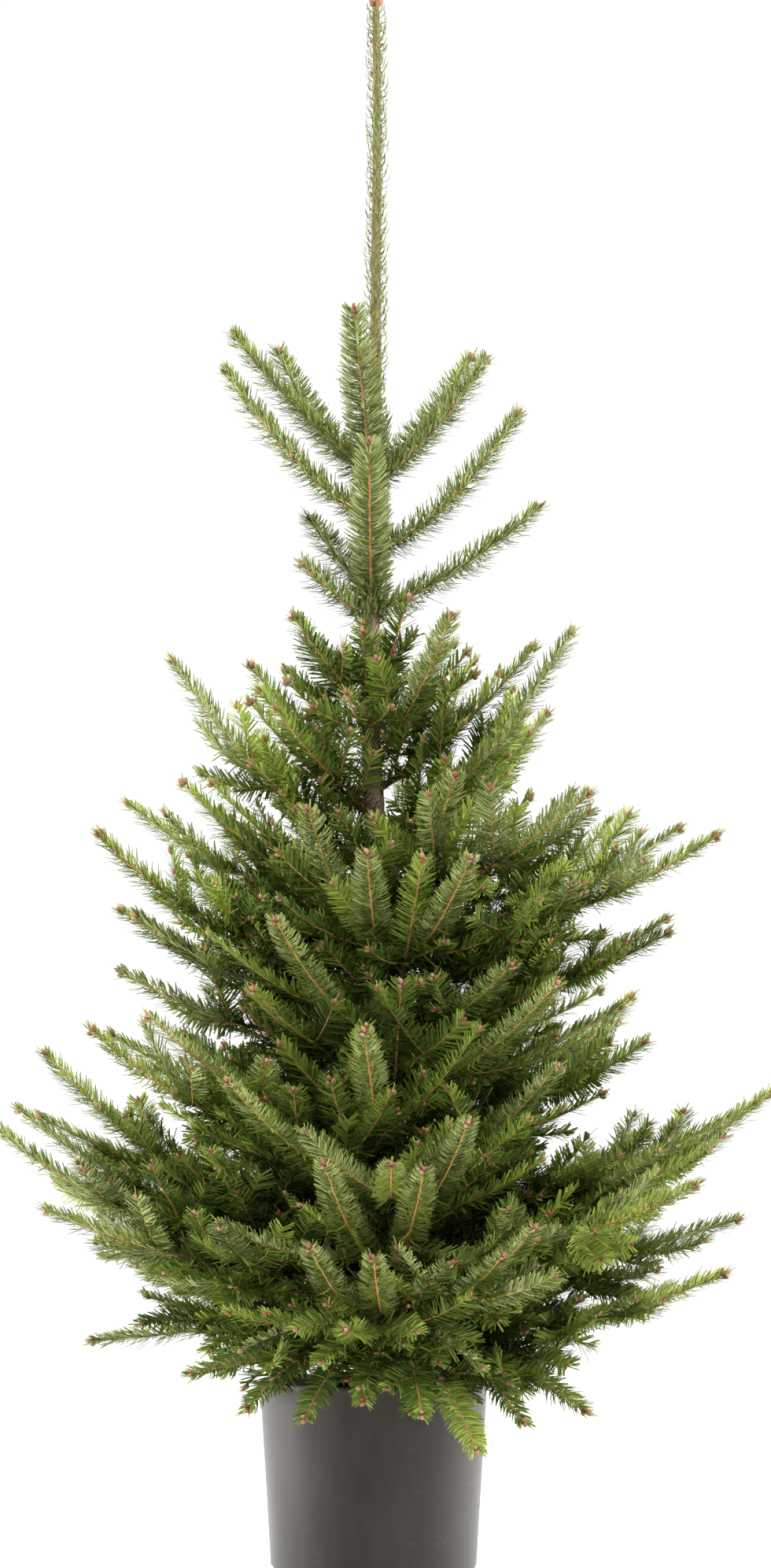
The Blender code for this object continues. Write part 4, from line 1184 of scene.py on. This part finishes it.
# The first bud stands ahead of the tip, the others round it and a little back
BUD_AHEAD = 0.0005
BUD_BACK = -0.0030
BUD_OUT = 0.0016
BUD_SCATTER = 0.2
BUD_ROUND = 0.85
BUD_SPLAY = 0.9
# Buds at the leader's top, the last of them upright, then along it as height and azimuth
TOP_BUDS = 6
TOP_BUD_TURN = 1.26
TOP_BUD_SPLAY = 0.7
TOP_BUD_OUT = 0.004
TOP_BUD_UP = 0.001
TOP_BUD_LENGTH = 0.0100
TOP_BUD_RADIUS = 0.0033
LEADER_BUDS = (
    (1.703, 200.0), (1.697, 300.0), (1.699, 340.0), (1.668, 190.0), (1.660, 310.0), (1.668, 60.0),
    (1.592, 10.0), (1.562, 250.0), (1.532, 170.0), (1.484, 330.0), (1.430, 80.0), (1.350, 290.0),
    (1.610, 120.0), (1.520, 40.0), (1.400, 200.0), (1.360, 100.0),
)
LEADER_BUD_ROOT = 0.8
LEADER_BUD_RISE = 0.6
LEADER_BUD_LENGTH = 0.0058
LEADER_BUD_RADIUS = 0.0021
BUD_COLOURS = (
    ("bud_red", (0.190, 0.055, 0.030), (0.320, 0.110, 0.058), 0.55),
    ("bud_brown", (0.210, 0.088, 0.042), (0.360, 0.175, 0.088), 0.60),
    ("bud_pale", (0.290, 0.150, 0.085), (0.450, 0.260, 0.155), 0.55),
)
BUD_MOTTLE = 500.0
BUD_BUMP = 0.0003


def tip_buds(shoot, rng):
    """The buds at the tip of one shoot, each as its place, direction, length and radius."""
    before, tip = as_array(shoot.points[-2:])
    ahead = unit(tip - before)
    across = np.array(tuple(shoot.across))
    above = np.cross(ahead, across)
    size = BUD_SIZES[shoot.order]
    count = BUD_COUNTS[shoot.order]
    buds = []
    for bud in range(count):
        angle = math.tau * bud / max(1, count - 1) + rng.normal(0.0, BUD_SCATTER)
        out = (across * math.cos(angle) + above * math.sin(angle)) * (BUD_ROUND if bud else 0.0)
        place = tip + ahead * (BUD_BACK if bud else BUD_AHEAD) + out * BUD_OUT * size
        length = BUD_LENGTH * size * rng.uniform(*BUD_LENGTHS)
        buds.append((place, ahead + out * BUD_SPLAY, length, BUD_RADIUS * size))
    return buds


def leader_buds():
    """The buds at the leader's top and along it, in the same terms."""
    up = np.array(UP)
    top = np.array(trunk_middle(TRUNK_TOP)) + up * TOP_BUD_UP
    buds = []
    for bud in range(TOP_BUDS):
        angle = bud * TOP_BUD_TURN
        splay = TOP_BUD_SPLAY if bud < TOP_BUDS - 1 else 0.0
        out = np.array([math.cos(angle), math.sin(angle), 0.0]) * splay
        buds.append((top + out * TOP_BUD_OUT, up + out, TOP_BUD_LENGTH, TOP_BUD_RADIUS))
    for height, azimuth in LEADER_BUDS:
        angle = math.radians(azimuth)
        out = np.array([math.cos(angle), math.sin(angle), 0.0])
        place = np.array(trunk_middle(height)) + out * trunk_radius(height) * LEADER_BUD_ROOT
        buds.append((place, out + up * LEADER_BUD_RISE, LEADER_BUD_LENGTH, LEADER_BUD_RADIUS))
    return buds


def bud_piece():
    """Clusters of resinous buds at the tips of the shoots, and along the leader."""
    rng = np.random.default_rng(SEEDS["buds"])
    buds = []
    for shoot in grown()[0]:
        if shoot.age == 1 and (shoot.order < 2 or outwardness(shoot) >= DEEP_WITHIN):
            buds += tip_buds(shoot, rng)
    points = []
    quads = []
    slots = []
    for place, ahead, length, radius in buds + leader_buds():
        ahead = unit(ahead)
        ring = across_ring(ahead, BUD_GUIDE, BUD_SIDES)
        index = ring_rows(len(BUD_RINGS), BUD_SIDES, len(points) * BUD_SIDES)
        points += [place + ahead * length * share + ring * radius * wide for share, wide in BUD_RINGS]
        quads.append(ring_quads(index))
        slots += [int(rng.random() * len(BUD_COLOURS))] * len(quads[-1])
    materials = [mottled(name, dark, light, BUD_MOTTLE, roughness, BUD_BUMP)
                 for name, dark, light, roughness in BUD_COLOURS]
    made = mesh_object("buds", np.concatenate(points), np.concatenate(quads), materials, slots, True)
    place_piece(made)


# Stage
CAMERA_PLACE = (0.013, -5.0, 0.56)
CAMERA_AIM = (0.013, 0.0, 0.876)
PIXEL_SIZE = 0.000868
PICTURE_HEIGHT = 1992
SENSOR = 36.0
NEAREST = 0.05
FARTHEST = 60.0
FLOOR_SIDES = 64
FLOOR_RADIUS = 9.0
FLOOR_LEVEL = -0.0003
WHITE = (1.0, 1.0, 1.0, 1.0)
WHITE_STRENGTH = 1.05
# The surroundings' grey in front, behind and overhead
SKY_FRONT = (0.30, 0.30, 0.30)
SKY_BACK = (0.62, 0.62, 0.62)
SKY_TOP = (1.35, 1.35, 1.35)
# Each light's place, aim, width and height, and its power against the key's
LIGHTS = {
    "light_left": ((-2.2, 0.4, 1.25), (0.0, 0.0, 1.25), 2.0, 2.5, 1.0),
    "light_right": ((2.2, 0.5, 1.25), (0.0, 0.0, 1.25), 2.0, 2.5, 1.1),
    "light_low": ((-1.5, -0.05, 0.22), (0.0, 0.0, 0.12), 0.9, 0.5, 0.13),
    "light_top": ((0.3, -2.2, 3.6), (0.0, 0.0, 0.7), 2.4, 2.0, 1.6),
}


def aimed(name, data, place, aim):
    """A light or a camera at a place, turned to a point."""
    made = bpy.data.objects.new(name, data)
    made.location = place
    made.rotation_mode = "QUATERNION"
    made.rotation_quaternion = (Vector(aim) - Vector(place)).to_track_quat("-Z", "Y")
    bpy.context.scene.collection.objects.link(made)
    return made


def surroundings(strength):
    """Soft light, brighter from above and behind; the camera itself sees plain white."""
    world = bpy.data.worlds.new("soft_white")
    world.use_nodes = True
    tree = world.node_tree
    tree.nodes.clear()
    place = tree.nodes.new("ShaderNodeTexCoord").outputs["Generated"]
    apart = add_node(tree, "ShaderNodeSeparateXYZ", {0: place})
    back = ramp_node(tree, apart.outputs[1], -0.9, 0.9)
    above = ramp_node(tree, apart.outputs[2], -0.1, 1.0)
    shade = mix_node(tree, above, mix_node(tree, back, SKY_FRONT, SKY_BACK), SKY_TOP)
    soft = add_node(tree, "ShaderNodeBackground", {"Color": shade, "Strength": strength})
    plain = add_node(tree, "ShaderNodeBackground", {"Color": WHITE, "Strength": WHITE_STRENGTH})
    seen = tree.nodes.new("ShaderNodeLightPath").outputs["Is Camera Ray"]
    choose = add_node(tree, "ShaderNodeMixShader", {0: seen, 1: soft.outputs[0], 2: plain.outputs[0]})
    add_node(tree, "ShaderNodeOutputWorld", {"Surface": choose.outputs[0]})
    return world


def stage(properties):
    """The pale floor, the soft light, the white surroundings and the camera."""
    material = mottled("floor_paper", (0.88, 0.88, 0.88), (0.90, 0.90, 0.90), 3.0, 0.9, specular=0.1)
    ring = ring_points(FLOOR_RADIUS, FLOOR_LEVEL, FLOOR_SIDES)
    points = np.concatenate([ring, [(0.0, 0.0, FLOOR_LEVEL)]])
    floor = mesh_object("floor", points, np.zeros((0, 4), dtype=int), [material],
                        triangles=fan(FLOOR_SIDES, range(FLOOR_SIDES)))
    for name, (place, aim, width, height, share) in LIGHTS.items():
        light = bpy.data.lights.new(name, "AREA")
        light.shape = "RECTANGLE"
        light.size = width
        light.size_y = height
        light.energy = properties.key_watts * share
        aimed(name, light, place, aim).visible_camera = False
    camera = bpy.data.cameras.new("camera")
    distance = (Vector(CAMERA_AIM) - Vector(CAMERA_PLACE)).length
    camera.lens = distance / PIXEL_SIZE * SENSOR / PICTURE_HEIGHT
    camera.sensor_width = SENSOR
    camera.clip_start = NEAREST
    camera.clip_end = FARTHEST
    scene = bpy.context.scene
    scene.camera = aimed("camera", camera, CAMERA_PLACE, CAMERA_AIM)
    scene.world = surroundings(properties.sky)
    scene.view_settings.view_transform = "Standard"
    scene.view_settings.look = "None"


# Add-on

class FirPlant(bpy.types.PropertyGroup):
    """Sizes of the plant's looks."""

    needles_per_metre: bpy.props.IntProperty(
        name="Needles per metre", description="Needles on a metre of young shoot", default=2700, min=50)
    trunk_sides: bpy.props.IntProperty(
        name="Trunk sides", description="Corners round the trunk", default=32, min=8)
    trunk_step: bpy.props.FloatProperty(
        name="Trunk step", description="Height between the trunk's rings", default=0.0044,
        subtype="DISTANCE", unit="LENGTH")
    pot_sides: bpy.props.IntProperty(
        name="Pot sides", description="Corners round the pot", default=128, min=16)


class FirStage(bpy.types.PropertyGroup):
    """Strengths of the light."""

    sky: bpy.props.FloatProperty(name="Sky", description="Strength of the surroundings", default=1.1)
    key_watts: bpy.props.FloatProperty(
        name="Key", description="Power of each side light", default=80.0, subtype="POWER", unit="POWER")


class FIR_OT_pot(bpy.types.Operator):
    """Makes the pot"""

    bl_idname = "fir.pot"
    bl_label = "Pot"

    def execute(self, context):
        pot_piece(context.scene.fir_plant)
        return {"FINISHED"}


class FIR_OT_compost(bpy.types.Operator):
    """Makes the compost"""

    bl_idname = "fir.compost"
    bl_label = "Compost"

    def execute(self, context):
        compost_piece()
        return {"FINISHED"}


class FIR_OT_trunk(bpy.types.Operator):
    """Makes the trunk's bark"""

    bl_idname = "fir.trunk"
    bl_label = "Trunk"

    def execute(self, context):
        trunk_piece(context.scene.fir_plant)
        return {"FINISHED"}


class FIR_OT_wood(bpy.types.Operator):
    """Makes the boughs and the twigs"""

    bl_idname = "fir.wood"
    bl_label = "Boughs and twigs"

    def execute(self, context):
        wood_pieces()
        return {"FINISHED"}


class FIR_OT_needles(bpy.types.Operator):
    """Makes the needles"""

    bl_idname = "fir.needles"
    bl_label = "Needles"

    def execute(self, context):
        needle_pieces(context.scene.fir_plant)
        return {"FINISHED"}


class FIR_OT_buds(bpy.types.Operator):
    """Makes the buds"""

    bl_idname = "fir.buds"
    bl_label = "Buds"

    def execute(self, context):
        bud_piece()
        return {"FINISHED"}


class FIR_OT_stage(bpy.types.Operator):
    """Makes the floor, the light, the surroundings and the camera"""

    bl_idname = "fir.stage"
    bl_label = "Stage"

    def execute(self, context):
        stage(context.scene.fir_stage)
        return {"FINISHED"}


OPERATORS = (
    FIR_OT_pot, FIR_OT_compost, FIR_OT_trunk, FIR_OT_wood, FIR_OT_needles, FIR_OT_buds, FIR_OT_stage,
)


class FIR_PT_panel(bpy.types.Panel):
    """The fir's sidebar panel."""

    bl_label = "Fir"
    bl_idname = "FIR_PT_panel"
    bl_space_type = "VIEW_3D"
    bl_region_type = "UI"
    bl_category = "Fir"

    def draw(self, context):
        layout = self.layout
        for group in (context.scene.fir_plant, context.scene.fir_stage):
            for field in group.bl_rna.properties:
                if not field.is_readonly and field.identifier != "name":
                    layout.prop(group, field.identifier)
        for operator in OPERATORS:
            layout.operator(operator.bl_idname)


CLASSES = (FirPlant, FirStage, *OPERATORS, FIR_PT_panel)


def register():
    for one in CLASSES:
        bpy.utils.register_class(one)
    bpy.types.Scene.fir_plant = bpy.props.PointerProperty(type=FirPlant)
    bpy.types.Scene.fir_stage = bpy.props.PointerProperty(type=FirStage)


def unregister():
    del bpy.types.Scene.fir_stage
    del bpy.types.Scene.fir_plant
    for one in reversed(CLASSES):
        bpy.utils.unregister_class(one)


def main():
    register()
    for step in (bpy.ops.fir.pot, bpy.ops.fir.compost, bpy.ops.fir.trunk, bpy.ops.fir.wood,
                 bpy.ops.fir.needles, bpy.ops.fir.buds, bpy.ops.fir.stage):
        if step() != {"FINISHED"}:
            raise RuntimeError("a step of the scene did not finish")


if __name__ == "__main__":
    main()
